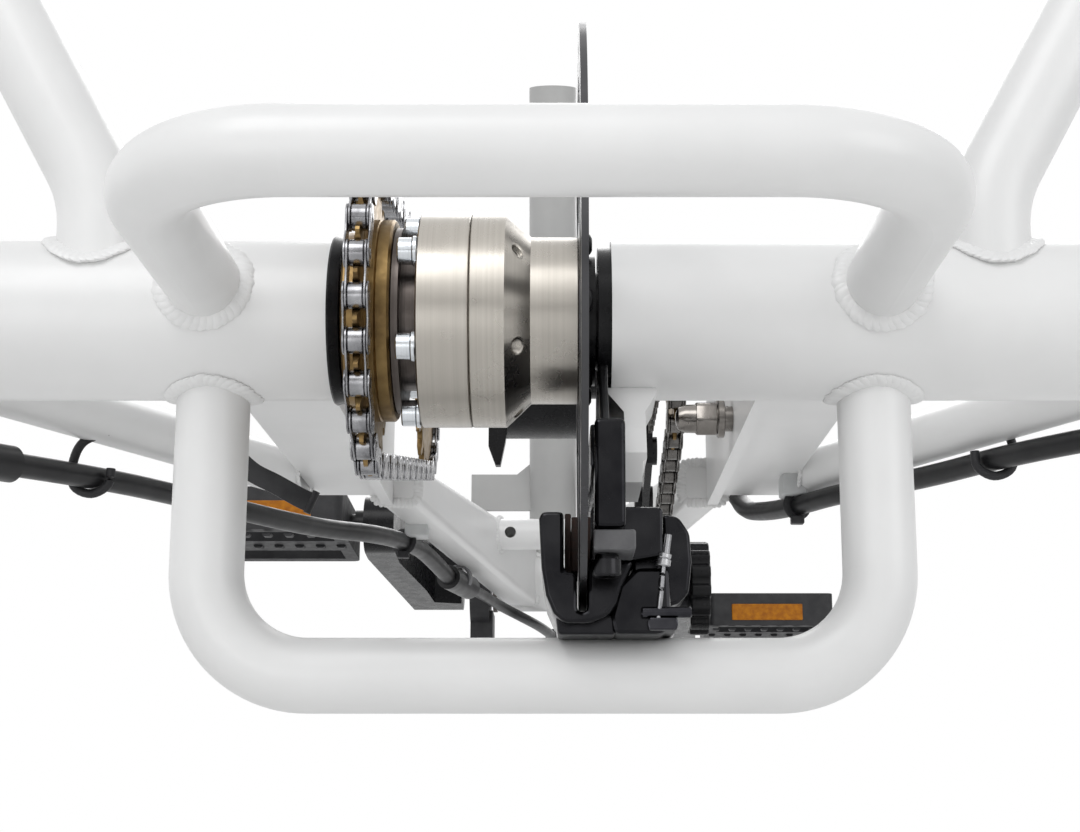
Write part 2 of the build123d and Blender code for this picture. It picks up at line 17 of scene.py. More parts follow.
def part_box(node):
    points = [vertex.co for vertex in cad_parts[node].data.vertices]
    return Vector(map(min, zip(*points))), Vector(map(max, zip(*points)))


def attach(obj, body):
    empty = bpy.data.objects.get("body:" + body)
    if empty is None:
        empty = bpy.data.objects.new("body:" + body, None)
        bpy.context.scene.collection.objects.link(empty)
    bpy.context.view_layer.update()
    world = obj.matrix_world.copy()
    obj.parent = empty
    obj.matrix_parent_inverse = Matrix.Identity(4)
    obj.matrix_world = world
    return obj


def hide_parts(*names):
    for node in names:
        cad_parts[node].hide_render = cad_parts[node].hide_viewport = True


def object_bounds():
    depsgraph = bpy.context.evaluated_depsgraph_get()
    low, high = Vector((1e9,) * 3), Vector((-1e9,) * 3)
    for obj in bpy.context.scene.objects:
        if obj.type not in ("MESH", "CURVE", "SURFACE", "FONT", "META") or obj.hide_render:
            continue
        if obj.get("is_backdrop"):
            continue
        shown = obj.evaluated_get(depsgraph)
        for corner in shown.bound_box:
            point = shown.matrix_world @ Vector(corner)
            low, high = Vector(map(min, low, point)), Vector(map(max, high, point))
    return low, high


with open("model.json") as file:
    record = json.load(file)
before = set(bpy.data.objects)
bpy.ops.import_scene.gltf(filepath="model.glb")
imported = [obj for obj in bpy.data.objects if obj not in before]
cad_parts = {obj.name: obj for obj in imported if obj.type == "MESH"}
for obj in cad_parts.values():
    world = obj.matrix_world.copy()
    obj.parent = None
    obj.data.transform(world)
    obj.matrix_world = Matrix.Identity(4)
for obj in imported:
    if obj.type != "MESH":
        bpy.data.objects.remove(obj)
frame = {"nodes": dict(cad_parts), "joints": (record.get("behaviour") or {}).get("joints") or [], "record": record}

CAD_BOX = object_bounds()
JOINTS = {joint["name"]: Vector(joint["pos_m"]) for joint in frame["joints"]}
AXLE = JOINTS["differential_spin"]
CRANK = (JOINTS["crank_spin"] - AXLE) * 1000
LEFT_PEDAL = (JOINTS["left_pedal_spin"] - AXLE) * 1000
RIGHT_PEDAL = (JOINTS["right_pedal_spin"] - AXLE) * 1000
scene = bpy.context.scene
print("axle at", [round(v, 4) for v in AXLE], "with", len(frame["nodes"]), "CAD nodes")


def corners_mm(node):
    """Lowest and highest corner of a CAD node, in millimetres about the axle."""
    low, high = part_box(node)
    return (low - AXLE) * 1000, (high - AXLE) * 1000


# %% [markdown]
# ## Camera and studio
#
# The camera stands close behind and a little below the axle and looks slightly up, with a fairly
# long lens. The studio is a pale floor, a white surround that lens and metal both see, and large
# soft lamps, so that white powder coat keeps gentle shading.

# %% Camera and studio
CAMERA_FROM_AXLE = Vector((0.0056, -0.5404, -0.1497))
LOOKS_UP = math.radians(12.5)
LENS, SENSOR, SIDE_SHIFT = 60.67, 36, -0.0204
camera = bpy.data.objects.new("camera", bpy.data.cameras.new("camera"))
camera.location = AXLE + CAMERA_FROM_AXLE
camera.rotation_euler = (math.pi / 2 + LOOKS_UP, 0, 0)
camera.data.lens, camera.data.sensor_width = LENS, SENSOR
camera.data.shift_x = SIDE_SHIFT
camera.data.clip_start = 0.01
scene.collection.objects.link(camera)
scene.camera = camera
scene.view_settings.view_transform = "Standard"


def soft_lamp(name, place, size, power):
    """Square area lamp that looks at the axle."""
    data = bpy.data.lights.new(name, "AREA")
    data.size, data.energy = size, power
    lamp = bpy.data.objects.new(name, data)
    lamp.location = AXLE + Vector(place)
    lamp.rotation_euler = (-Vector(place)).to_track_quat("-Z", "Y").to_euler()
    scene.collection.objects.link(lamp)


soft_lamp("key_lamp", (-0.5, -1.0, 1.1), 0.9, 8.2)
soft_lamp("fill_lamp", (1.1, -0.9, 0.35), 0.8, 3.0)
soft_lamp("front_lamp", (0.2, 1.4, 0.9), 1.0, 7)
soft_lamp("low_lamp", (-0.4, -0.9, -0.25), 0.6, 1.5)

world = bpy.data.worlds.new("studio")
world.use_nodes = True
scene.world = world


def add(tree, kind, links=(), values=(), **settings):
    """Adds a node: its settings, (input, output socket) links and (input, value) pairs."""
    node = tree.nodes.new(kind)
    for key, value in settings.items():
        setattr(node, key, value)
    for key, source in links:
        tree.links.new(source, node.inputs[key])
    for key, value in values:
        node.inputs[key].default_value = value
    return node


tree = world.node_tree
seen = add(tree, "ShaderNodeLightPath").outputs
shown = seen["Is Camera Ray"]
for other in ("Is Glossy Ray", "Is Transmission Ray"):
    shown = add(tree, "ShaderNodeMath", [(0, shown), (1, seen[other])], operation="MAXIMUM").outputs[0]
dim = tree.nodes["Background"]
dim.inputs["Color"].default_value = (0.58, 0.585, 0.595, 1)
bright = add(tree, "ShaderNodeBackground", values=[("Color", (1, 1, 1, 1))])
choose = add(tree, "ShaderNodeMixShader", [(0, shown), (1, dim.outputs[0]), (2, bright.outputs[0])])
tree.links.new(choose.outputs[0], tree.nodes["World Output"].inputs[0])
print("camera", round(CAMERA_FROM_AXLE.length, 3), "m from the axle")

# %% [markdown]
# ## Finishes
#
# One helper builds every finish from noise that is tied to the object. A slow noise mottles the
# colour, a second one varies the gloss, and a fine one gives grain by bump. Turned parts use lines
# that run round the axle, and the disc uses rings about its middle, as a lathe or a grinder leaves.

# %% Finishes
FINISH = {}


def noise(tree, coords, scale, detail=4.0, rough=0.55):
    return add(tree, "ShaderNodeTexNoise", [("Vector", coords)],
               [("Scale", scale), ("Detail", detail), ("Roughness", rough)]).outputs["Fac"]


def ramp(tree, value, low, high, start=0.3, stop=0.7):
    return add(tree, "ShaderNodeMapRange", [("Value", value)],
               [("From Min", start), ("From Max", stop), ("To Min", low), ("To Max", high)]).outputs["Result"]


def lines_round_x(tree, coords):
    """Coordinates that only change along X, as on a turned part."""
    return add(tree, "ShaderNodeMapping", [("Vector", coords)], [("Scale", (1, 0.0004, 0.0004))]).outputs[0]


def rings_about_axle(tree, coords):
    """Coordinates that only change with the distance from the axle line."""
    kind = "ShaderNodeVectorMath"
    away = add(tree, kind, [(0, coords)], [(1, AXLE)], operation="SUBTRACT").outputs[0]
    flat = add(tree, kind, [(0, away)], [(1, (0, 1, 1))], operation="MULTIPLY").outputs[0]
    size = add(tree, kind, [(0, flat)], operation="LENGTH").outputs["Value"]
    return add(tree, "ShaderNodeCombineXYZ", [(0, size)]).outputs[0]


def finish(name, colour, worn, metallic, gloss, grain, depth, blotch, lines=None, line_scale=900,
           **sockets):
    """Procedural finish: two colours, a gloss range, and a grain of a given scale and depth."""
    material = bpy.data.materials.new(name)
    material.use_nodes = True
    tree = material.node_tree
    shader = tree.nodes["Principled BSDF"]
    shader.inputs["Metallic"].default_value = metallic
    for socket, value in sockets.items():
        shader.inputs[socket.replace("_", " ")].default_value = value
    coords = tree.nodes.new("ShaderNodeTexCoord").outputs["Object"]
    mottle = noise(tree, coords, blotch)
    fine = noise(tree, coords, grain, 2.0)
    if lines:
        turned = noise(tree, lines(tree, coords), line_scale, 6.0, 0.7)
        both = add(tree, "ShaderNodeMath", [(0, turned), (2, ramp(tree, mottle, 0.0, 0.3, 0.0, 1.0))],
                   [(1, 0.7)], operation="MULTIPLY_ADD")
        mottle, fine = both.outputs[0], turned
    mix = add(tree, "ShaderNodeMix", [(0, ramp(tree, mottle, 0.0, 1.0))],
              [(6, (*colour, 1)), (7, (*worn, 1))], data_type="RGBA")
    rough = ramp(tree, noise(tree, coords, blotch * 2.3), *gloss)
    bump = add(tree, "ShaderNodeBump", [("Height", fine)], [("Strength", 0.5), ("Distance", depth / 1000)])
    for socket, source in (("Base Color", mix.outputs[2]), ("Roughness", rough), ("Normal", bump.outputs[0])):
        tree.links.new(source, shader.inputs[socket])
    FINISH[name] = material


finish("white_powder_coat", (0.83, 0.83, 0.825), (0.79, 0.79, 0.785), 0.0, (0.34, 0.42), 1400, 0.012, 28,
       Coat_Weight=0.25, Coat_Roughness=0.25)
finish("grey_powder_coat", (0.5, 0.5, 0.49), (0.44, 0.44, 0.435), 0.0, (0.36, 0.46), 1400, 0.012, 30)
finish("turned_nickel", (0.54, 0.51, 0.465), (0.42, 0.395, 0.355), 1.0, (0.24, 0.34), 1500, 0.006, 30,
       lines_round_x)
finish("dark_steel", (0.15, 0.13, 0.12), (0.07, 0.06, 0.055), 1.0, (0.3, 0.5), 1800, 0.02, 90,
       lines_round_x, 1400)
finish("journal_steel", (0.52, 0.52, 0.53), (0.42, 0.42, 0.43), 1.0, (0.2, 0.32), 1500, 0.006, 60,
       lines_round_x, 1200)
finish("brake_disc_steel", (0.11, 0.11, 0.115), (0.055, 0.055, 0.058), 1.0, (0.25, 0.4), 1500, 0.01, 50,
       rings_about_axle, 1600)
finish("bronze_freewheel", (0.32, 0.215, 0.09), (0.17, 0.11, 0.05), 1.0, (0.3, 0.5), 1500, 0.03, 160)
finish("chain_steel", (0.46, 0.46, 0.475), (0.19, 0.19, 0.20), 1.0, (0.2, 0.32), 2500, 0.004, 150)
# Darker copy of chain_steel: painted shade for the crank chain, whose plates face down out of the light.
finish("shaded_chain_steel", (0.24, 0.23, 0.22), (0.09, 0.085, 0.08), 1.0, (0.2, 0.32), 2500, 0.004, 150)
finish("bolt_steel", (0.30, 0.28, 0.26), (0.15, 0.14, 0.13), 1.0, (0.18, 0.3), 1500, 0.006, 60)
finish("black_cast", (0.005, 0.005, 0.006), (0.011, 0.011, 0.012), 0.0, (0.22, 0.34), 1100, 0.05, 70,
       Specular_IOR_Level=0.2)
finish("caliper_black", (0.030, 0.030, 0.032), (0.015, 0.015, 0.017), 1.0, (0.16, 0.30), 1100, 0.02, 70)
# Lighter grey for the caliper's ears: painted light, standing for lamp light on faces of the black casting.
finish("lit_caliper_grey", (0.12, 0.12, 0.125), (0.075, 0.075, 0.08), 0.0, (0.4, 0.55), 900, 0.09, 160)
finish("blued_steel", (0.06, 0.06, 0.066), (0.025, 0.025, 0.03), 1.0, (0.14, 0.24), 1600, 0.006, 120)
finish("pad_compound", (0.035, 0.014, 0.009), (0.016, 0.010, 0.008), 0.0, (0.75, 0.9), 2600, 0.12, 900)
finish("black_resin", (0.018, 0.018, 0.02), (0.034, 0.034, 0.036), 0.0, (0.42, 0.6), 1600, 0.06, 110,
       Specular_IOR_Level=0.35)
finish("cable_black", (0.009, 0.009, 0.01), (0.018, 0.018, 0.019), 0.0, (0.28, 0.4), 1800, 0.02, 80,
       Specular_IOR_Level=0.4)
finish("bright_zinc", (0.80, 0.83, 0.86), (0.62, 0.65, 0.68), 1.0, (0.14, 0.26), 1500, 0.006, 180,
       lines_round_x, 2200)
finish("nylon_white", (0.62, 0.63, 0.63), (0.5, 0.51, 0.51), 0.0, (0.36, 0.5), 1500, 0.02, 90)
finish("connector_grey", (0.20, 0.20, 0.205), (0.14, 0.14, 0.145), 0.0, (0.4, 0.55), 1600, 0.04, 90)
finish("amber_reflector", (0.52, 0.19, 0.002), (0.33, 0.10, 0.001), 0.0, (0.3, 0.42), 420, 0.4, 300,
       Coat_Weight=0.15, Specular_IOR_Level=0.2)

for part in frame["record"]["subparts"]:
    cad = frame["nodes"][part["node"]]
    cad.data.materials.clear()
    cad.data.materials.append(FINISH[part["material_slot"]])
# The collar behind the disc takes the dark cast finish here, not the plain steel of its own slot.
frame["nodes"]["differential_journal"].data.materials[0] = FINISH["black_cast"]
print("finishes:", ", ".join(sorted(FINISH)))

# %% [markdown]
# ## Drawing helpers
#
# Three ways of making a closed mesh cover most machine parts. `turned` revolves a section about X,
# as on a lathe. `prism` sweeps an outline straight along one axis and rounds its edges, as a milled
# or cast part has. `rod` runs a round or flat bar along a smooth line. Each returns a bmesh in
# millimetres, or adds to one that it is given, and `solid` turns it into a finished object.

# %% Turned and swept shapes


def turned(profile, steps=72, centre=(0.0, 0.0), mesh=None):
    """Closed ring about X from a section given as (x, radius) corners in order."""
    mesh = mesh or bmesh.new()
    y, z = centre
    loops = []
    for x, radius in profile:
        angles = [math.tau * i / steps for i in range(steps if radius > 0 else 1)]
        loops.append([mesh.verts.new((x, y + radius * math.sin(a), z + radius * math.cos(a)))
                      for a in angles])
    for one, two in zip(loops, loops[1:] + loops[:1]):
        for i in range(steps if max(len(one), len(two)) > 1 else 0):
            j = (i + 1) % steps
            corners = [one[i % len(one)], one[j % len(one)], two[j % len(two)], two[i % len(two)]]
            mesh.faces.new(list(dict.fromkeys(corners)))
    return mesh


def softened(outline, cut, steps=3, clear=math.radians(150), share=0.4):
    """Outline with each clear corner replaced by a short curve."""
    points, flat = [], [Vector(p) for p in outline]
    for back, here, ahead in zip(flat[-1:] + flat[:-1], flat, flat[1:] + flat[:1]):
        one, two = back - here, ahead - here
        if one.angle(two) > clear:
            points.append(here)
            continue
        one = here + one * min(cut / one.length, share)
        two = here + two * min(cut / two.length, share)
        for i in range(steps + 1):
            t = i / steps
            points.append(one * (1 - t) ** 2 + here * 2 * t * (1 - t) + two * t ** 2)
    return points


def inset(outline, by):
    """Outline moved inward by a small distance."""
    area = sum(a.cross(b) for a, b in zip(outline, outline[1:] + outline[:1]))
    by = by if area > 0 else -by
    points = []
    for back, here, ahead in zip(outline[-1:] + outline[:-1], outline, outline[1:] + outline[:1]):
        one, two = (here - back).normalized(), (ahead - here).normalized()
        normal = Vector((-one.y - two.y, one.x + two.x)).normalized()
        points.append(here + normal * by / max(0.5, normal.dot(Vector((-one.y, one.x)))))
    return points


ALONG = {"X": lambda p, w: (w, p.x, p.y), "Y": lambda p, w: (p.x, w, p.y)}
CORNER_CUT = 1.6  # how far a softened corner reaches, in bevels


def prism(outline, low, high, axis="Y", bevel=0.0, segments=2, mesh=None):
    """Outline swept along an axis, with rounded edges. It is (x, z) for Y and (y, z) for X."""
    mesh = mesh or bmesh.new()
    flat = [Vector(p) for p in outline]
    turns = [math.pi / 2 * i / segments for i in range(segments + 1)] if bevel else [math.pi / 2]
    levels = [(low + bevel * (1 - math.cos(a)), bevel * (1 - math.sin(a))) for a in turns]
    levels = levels + [(high - (w - low), by) for w, by in levels[::-1]]
    loops = []
    for w, by in levels:
        points = softened(inset(flat, by), CORNER_CUT * bevel - by, segments + 1) if bevel else flat
        loops.append([mesh.verts.new(ALONG[axis](p, w)) for p in points])
    mesh.faces.new(loops[0])
    mesh.faces.new(loops[-1][::-1])
    for one, two in zip(loops, loops[1:]):
        for i in range(len(one)):
            j = (i + 1) % len(one)
            mesh.faces.new((one[j], one[i], two[i], two[j]))
    return mesh


def moved(mesh, by):
    """Shifts a mesh."""
    bmesh.ops.translate(mesh, verts=mesh.verts, vec=by)
    return mesh


def leaned(mesh, angle):
    """Turns a mesh about Y by an angle in radians."""
    bmesh.ops.rotate(mesh, verts=mesh.verts, matrix=Matrix.Rotation(angle, 3, "Y"))
    return mesh


def merged(whole, part):
    """Adds one bmesh to another."""
    keep = bpy.data.meshes.new("scrap")
    part.to_mesh(keep)
    part.free()
    whole.from_mesh(keep)
    bpy.data.meshes.remove(keep)
    return whole


# %% Lines and bars


def smooth_line(points, step=2.0):
    """Points along a smooth curve through the given ones, about a step apart."""
    line, ends = [], [Vector(p) for p in points]
    ends = [2 * ends[0] - ends[1]] + ends + [2 * ends[-1] - ends[-2]]
    for a, b, c, d in zip(ends, ends[1:], ends[2:], ends[3:]):
        count = max(2, round((c - b).length / step))
        for i in range(count):
            t = i / count
            line.append(0.5 * ((2 * b) + (c - a) * t + (2 * a - 5 * b + 4 * c - d) * t ** 2
                               + (3 * b - a - 3 * c + d) * t ** 3))
    return line + [ends[-2]]


def rod(line, width, height=None, sides=12, across=(0, 0, 1), closed=False, mesh=None):
    """Bar along a line of points, round or a rounded strap of a width and height."""
    mesh = mesh or bmesh.new()
    height = height or width
    line = [Vector(p) for p in line]
    loops, count = [], len(line)
    for i, here in enumerate(line):
        back = line[i - 1 if closed or i else 0]
        ahead = line[(i + 1) % count if closed or i < count - 1 else i]
        along = (ahead - back).normalized()
        side = along.cross(Vector(across))
        side = (side if side.length > 0.1 else along.cross(Vector((1, 0, 0)))).normalized()
        up = side.cross(along)
        loop = []
        for k in range(sides):
            a = math.tau * (k + 0.5) / sides
            c, s = math.cos(a), math.sin(a)
            if height != width:
                c, s = math.copysign(abs(c) ** 0.5, c), math.copysign(abs(s) ** 0.5, s)
            loop.append(mesh.verts.new(here + side * c * width / 2 + up * s * height / 2))
        loops.append(loop)
    pairs = list(zip(loops, loops[1:] + (loops[:1] if closed else [])))
    for one, two in pairs:
        for k in range(sides):
            m = (k + 1) % sides
            mesh.faces.new((one[k], one[m], two[m], two[k]))
    if not closed:
        mesh.faces.new(loops[0][::-1])
        mesh.faces.new(loops[-1])
    return mesh


# %% Finished objects
CAP_CORNERS = 12  # a face with more corners than this is a flat end


def solid(name, mesh, material, body=None, place=AXLE, smooth=32, over=None):
    """Finished object from a bmesh in millimetres, on a body and over a CAD node where they are named."""
    bmesh.ops.recalc_face_normals(mesh, faces=mesh.faces)
    bmesh.ops.scale(mesh, vec=(0.001, 0.001, 0.001), verts=mesh.verts)
    moved(mesh, place)
    data = bpy.data.meshes.new(name)
    mesh.to_mesh(data)
    mesh.free()
    made = bpy.data.objects.new(name, data)
    scene.collection.objects.link(made)
    dressed(made, material, body, smooth)
    if over:
        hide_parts(over)
    return made


def dressed(made, material, body, smooth=32):
    """Smooth shading up to an angle, flat end caps, one finish, and a body to ride on."""
    made.data.materials.clear()
    made.data.materials.append(FINISH[material])
    made.data.shade_smooth()
    made.data.set_sharp_from_angle(angle=math.radians(smooth))
    for face in made.data.polygons:
        if len(face.vertices) > CAP_CORNERS:
            face.use_smooth = False
    if body:
        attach(made, body)
    print(made.name, len(made.data.polygons), "faces,", material, "on", body)
    return made


def stood(mesh, place, along):
    """A mesh drawn about X, turned to lie along a direction and moved to its place."""
    turn = Vector((1, 0, 0)).rotation_difference(Vector(along)).to_matrix()
    bmesh.ops.rotate(mesh, verts=mesh.verts, matrix=turn)
    return moved(mesh, place)


def template(name, mesh, material):
    """Piece drawn at zero that a node tree will repeat."""
    return solid(name, mesh, material, None, Vector((0, 0, 0)))


def hexagon(across, turn=0.0):
    """Corners of a hexagon of a width across its flats."""
    radius = across / 2 / math.cos(math.pi / 6)
    angles = [turn + math.pi / 3 * i for i in range(6)]
    return [(radius * math.cos(a), radius * math.sin(a)) for a in angles]


# %% [markdown]
# ## Two node trees for what repeats
#
# `ring` copies one piece evenly about a line along X, as bolts and sprocket teeth sit. `row` copies
# pieces onto points that carry their own turn, in turns of two kinds, as the inner and outer links
# of a chain do, and with a little unevenness where a hand made them, as in a weld. Each tree
# realizes its copies and gives them their finish, and the result is kept as one plain mesh.

# %% Ring and row trees


def node_tree(name, inputs):
    """Empty geometry tree with named inputs. Returns it with the identifiers of those inputs."""
    tree = bpy.data.node_groups.new(name, "GeometryNodeTree")
    tree.interface.new_socket("Geometry", in_out="INPUT", socket_type="NodeSocketGeometry")
    names = {}
    for label, kind in inputs:
        socket = tree.interface.new_socket(label, in_out="INPUT", socket_type="NodeSocket" + kind)
        names[label] = socket.identifier
    tree.interface.new_socket("Geometry", in_out="OUTPUT", socket_type="NodeSocketGeometry")
    return tree, names


def finished(tree, copies, material):
    """Makes the copies real, gives them their finish and ends the tree."""
    real = add(tree, "GeometryNodeRealizeInstances", [(0, copies.outputs[0])])
    painted = add(tree, "GeometryNodeSetMaterial", [("Geometry", real.outputs[0]), ("Material", material)])
    add(tree, "NodeGroupOutput", [(0, painted.outputs[0])])


def ring_tree():
    tree, names = node_tree("ring", [("Piece", "Object"), ("Count", "Int"), ("Radius", "Float"),
                                     ("First", "Float"), ("Centre", "Vector"), ("Finish", "Material")])
    given = add(tree, "NodeGroupInput").outputs
    circle = add(tree, "GeometryNodeMeshCircle", [("Vertices", given["Count"]), ("Radius", given["Radius"])])
    step = add(tree, "ShaderNodeMath", [(1, given["Count"])], [(0, math.tau)], operation="DIVIDE")
    angle = add(tree, "ShaderNodeMath", [(0, add(tree, "GeometryNodeInputIndex").outputs[0]),
                                         (1, step.outputs[0])], operation="MULTIPLY")
    turn = add(tree, "ShaderNodeCombineXYZ", [("Z", angle.outputs[0])])
    turn = add(tree, "FunctionNodeEulerToRotation", [(0, turn.outputs[0])])
    piece = add(tree, "GeometryNodeObjectInfo", [("Object", given["Piece"])])
    copies = add(tree, "GeometryNodeInstanceOnPoints",
                 [("Points", circle.outputs[0]), ("Instance", piece.outputs["Geometry"]),
                  ("Rotation", turn.outputs[0])])
    first = add(tree, "ShaderNodeCombineXYZ", [("Z", given["First"])])
    first = add(tree, "FunctionNodeEulerToRotation", [(0, first.outputs[0])])
    started = add(tree, "GeometryNodeTransform",
                  [("Geometry", copies.outputs[0]), ("Rotation", first.outputs[0])])
    along_x = add(tree, "GeometryNodeTransform",
                  [("Geometry", started.outputs[0]), ("Translation", given["Centre"])],
                  [("Rotation", Euler((0, math.pi / 2, 0)))])
    finished(tree, along_x, given["Finish"])
    return tree, names


def row_tree():
    tree, names = node_tree("row", [("Points", "Object"), ("Even", "Object"), ("Odd", "Object"),
                                    ("Unevenness", "Float"), ("Seed", "Int"), ("Finish", "Material")])
    given = add(tree, "NodeGroupInput").outputs
    points = add(tree, "GeometryNodeObjectInfo", [("Object", given["Points"])])
    turn = add(tree, "GeometryNodeInputNamedAttribute", values=[("Name", "turn")], data_type="FLOAT_VECTOR")
    turn = add(tree, "FunctionNodeEulerToRotation", [(0, turn.outputs[0])])
    index = add(tree, "GeometryNodeInputIndex")
    odd = add(tree, "ShaderNodeMath", [(0, index.outputs[0])], [(1, 2)], operation="MODULO")
    even = add(tree, "FunctionNodeBooleanMath", [(0, odd.outputs[0])], operation="NOT")
    less, more = [add(tree, "ShaderNodeMath", [(1, given["Unevenness"])], [(0, 1)], operation=kind)
                  for kind in ("SUBTRACT", "ADD")]
    size = add(tree, "FunctionNodeRandomValue",
               [(2, less.outputs[0]), (3, more.outputs[0]), ("Seed", given["Seed"])], data_type="FLOAT")
    join = add(tree, "GeometryNodeJoinGeometry")
    for label, choice in (("Even", even.outputs[0]), ("Odd", odd.outputs[0])):
        piece = add(tree, "GeometryNodeObjectInfo", [("Object", given[label])])
        copies = add(tree, "GeometryNodeInstanceOnPoints",
                     [("Points", points.outputs["Geometry"]), ("Selection", choice),
                      ("Instance", piece.outputs["Geometry"]), ("Rotation", turn.outputs[0]),
                      ("Scale", size.outputs[1])])
        tree.links.new(copies.outputs[0], join.inputs[0])
    finished(tree, join, given["Finish"])
    return tree, names


RING, ROW = ring_tree(), row_tree()
print("trees:", RING[0].name, ROW[0].name)

# %% Using the trees


def grown(name, tree_and_names, values, material, body, smooth=32):
    """Runs a tree once, keeps its result as a plain mesh, and removes the pieces that it used."""
    tree, names = tree_and_names
    made = bpy.data.objects.new(name, bpy.data.meshes.new(name))
    scene.collection.objects.link(made)
    modifier = made.modifiers.new("grow", "NODES")
    modifier.node_group = tree
    for label, value in dict(values, Finish=FINISH[material]).items():
        modifier[names[label]] = value
    view = bpy.context.evaluated_depsgraph_get()
    made.data = bpy.data.meshes.new_from_object(made.evaluated_get(view), depsgraph=view)
    made.modifiers.clear()
    for used in {v for v in values.values() if isinstance(v, bpy.types.Object)}:
        bpy.data.objects.remove(used)
    return dressed(made, material, body, smooth)


def ring(name, piece, count, radius, first, centre, material, body, smooth=32):
    """Copies about a line along X. Copy 0 is first degrees forward of straight down."""
    values = {"Piece": piece, "Count": count, "Radius": radius / 1000, "First": math.radians(first),
              "Centre": AXLE + Vector(centre) / 1000}
    return grown(name, RING, values, material, body, smooth)


def row(name, places, even, odd, material, body, uneven=0.0, seed=1, smooth=32):
    """Copies onto (point, euler) pairs, in turns of an even and an odd piece."""
    data = bpy.data.meshes.new(name + "_points")
    data.from_pydata([AXLE + Vector(point) / 1000 for point, _ in places], [], [])
    turn = data.attributes.new("turn", "FLOAT_VECTOR", "POINT")
    for i, (_, euler) in enumerate(places):
        turn.data[i].vector = euler
    points = bpy.data.objects.new(name + "_points", data)
    scene.collection.objects.link(points)
    values = {"Points": points, "Even": even, "Odd": odd, "Unevenness": uneven, "Seed": seed}
    return grown(name, ROW, values, material, body, smooth)


# %% [markdown]
# ## Chains and teeth
#
# A half inch chain is a run of inner links (two plates and two rollers) and outer links (two plates
# and two pins). Its pins lie 12.7 mm apart on the loop round two sprockets, and each link lies on
# the straight line between its two pins. The teeth stand half way between the pins.

# %% Chains and teeth
PITCH = 12.7
AXLE_TEETH, JACK_TEETH, CRANK_TEETH = 22, 16, 32
AXLE_LINKS, CRANK_LINKS = 56, 82
TOOTH_TIP = 3.2
ROLLER = [(-2.25, 2.0), (-2.25, 3.6), (-1.95, 3.9), (1.95, 3.9), (2.25, 3.6), (2.25, 2.0)]
PIN = [(-3.9, 0), (-3.9, 1.4), (-3.7, 1.8), (3.7, 1.8), (3.9, 1.4), (3.9, 0)]


def pitch_radius(teeth):
    return PITCH / (2 * math.sin(math.pi / teeth))


def loop_points(big, radius, small, little, count, start):
    """Evenly spaced (y, z) points round two circles and their tangents."""
    big, small = Vector(big), Vector(small)
    span = (small - big).length
    tilt = math.atan2((small - big).y, (small - big).x)
    lean = math.asin((radius - little) / span)
    run = math.sqrt(span ** 2 - (radius - little) ** 2)
    up = math.pi / 2 - lean
    arc_big, arc_small = (math.tau - 2 * up) * radius, 2 * up * little
    total = arc_big + arc_small + 2 * run

    def on(circle, r, angle):
        return circle + r * Vector((math.cos(tilt + angle), math.sin(tilt + angle)))

    points = []
    for i in range(count):
        s = (start + i) * total / count % total
        if s < arc_big:
            points.append(on(big, radius, up + s / radius))
        elif s < arc_big + run:
            points.append(on(big, radius, -up).lerp(on(small, little, -up), (s - arc_big) / run))
        elif s < arc_big + run + arc_small:
            points.append(on(small, little, -up + (s - arc_big - run) / little))
        else:
            t = (s - arc_big - run - arc_small) / run
            points.append(on(small, little, up).lerp(on(big, radius, up), t))
    return points


def link_plate(low, high, waist, radius=4.2, steps=9, mesh=None):
    """Figure of eight plate from pin to pin along Y."""
    outline = []
    for side in (1, -1):
        for i in range(steps + 1):
            a = math.radians(-115 + 230 * i / steps)
            outline.append((side * (PITCH / 2 + radius * math.cos(a)), side * radius * math.sin(a)))
        outline.append((0, side * waist))
    return prism(outline, low, high, "X", 0.16, 1, mesh)


def link(low, high, waist, barrel, steps):
    """Two plates, low to high from the middle, with a roller or a pin through each end."""
    mesh = bmesh.new()
    for side in (-1, 1):
        link_plate(*sorted((side * low, side * high)), waist, mesh=mesh)
        turned(barrel, steps, (side * PITCH / 2, 0), mesh)
    return mesh


def chain(name, centre_x, pins, material):
    """Whole closed chain from its pins' (y, z) places."""
    places = []
    for here, there in zip(pins, pins[1:] + pins[:1]):
        middle, step = (here + there) / 2, there - here
        places.append(((centre_x, middle.x, middle.y), (math.atan2(step.y, step.x), 0, 0)))
    inner = template("inner", link(2.35, 3.05, 3.0, ROLLER, 20), material)
    outer = template("outer", link(3.15, 3.75, 2.5, PIN, 12), material)
    made = row(name, places, inner, outer, material, "frame", smooth=40)
    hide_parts(name)


def teeth(name, centre, count, pins, material, body):
    """Sprocket teeth between the pins that lie on this sprocket, on top of the CAD disc."""
    radius = pitch_radius(count)
    hub = Vector(centre[1:])
    own = [p - hub for p in pins if abs((p - hub).length - radius) < 0.6]
    angle = math.degrees(math.atan2(own[len(own) // 2].x, -own[len(own) // 2].y))
    tooth = bmesh.new()
    shape = [(-5.2, -5.0), (-4.0, -4.6), (-2.6, -3.0), (0.5, -2.1), (TOOTH_TIP - 0.8, -1.2),
             (TOOTH_TIP, -0.55)]
    shape = shape + [(r, -t) for r, t in shape[::-1]]
    one, two = [[tooth.verts.new((r, t, x * (1 if r < TOOTH_TIP - 1.5 else 0.6))) for r, t in shape]
                for x in (-1.05, 1.05)]
    tooth.faces.new(one)
    tooth.faces.new(two[::-1])
    for i in range(len(shape)):
        j = (i + 1) % len(shape)
        tooth.faces.new((one[j], one[i], two[i], two[j]))
    piece = template("tooth", tooth, material)
    ring(name, piece, count, radius, angle + 180 / count, centre, material, body)


def middle_x(node):
    """Where a CAD node's middle lies across the frame."""
    low, high = corners_mm(node)
    return (low.x + high.x) / 2


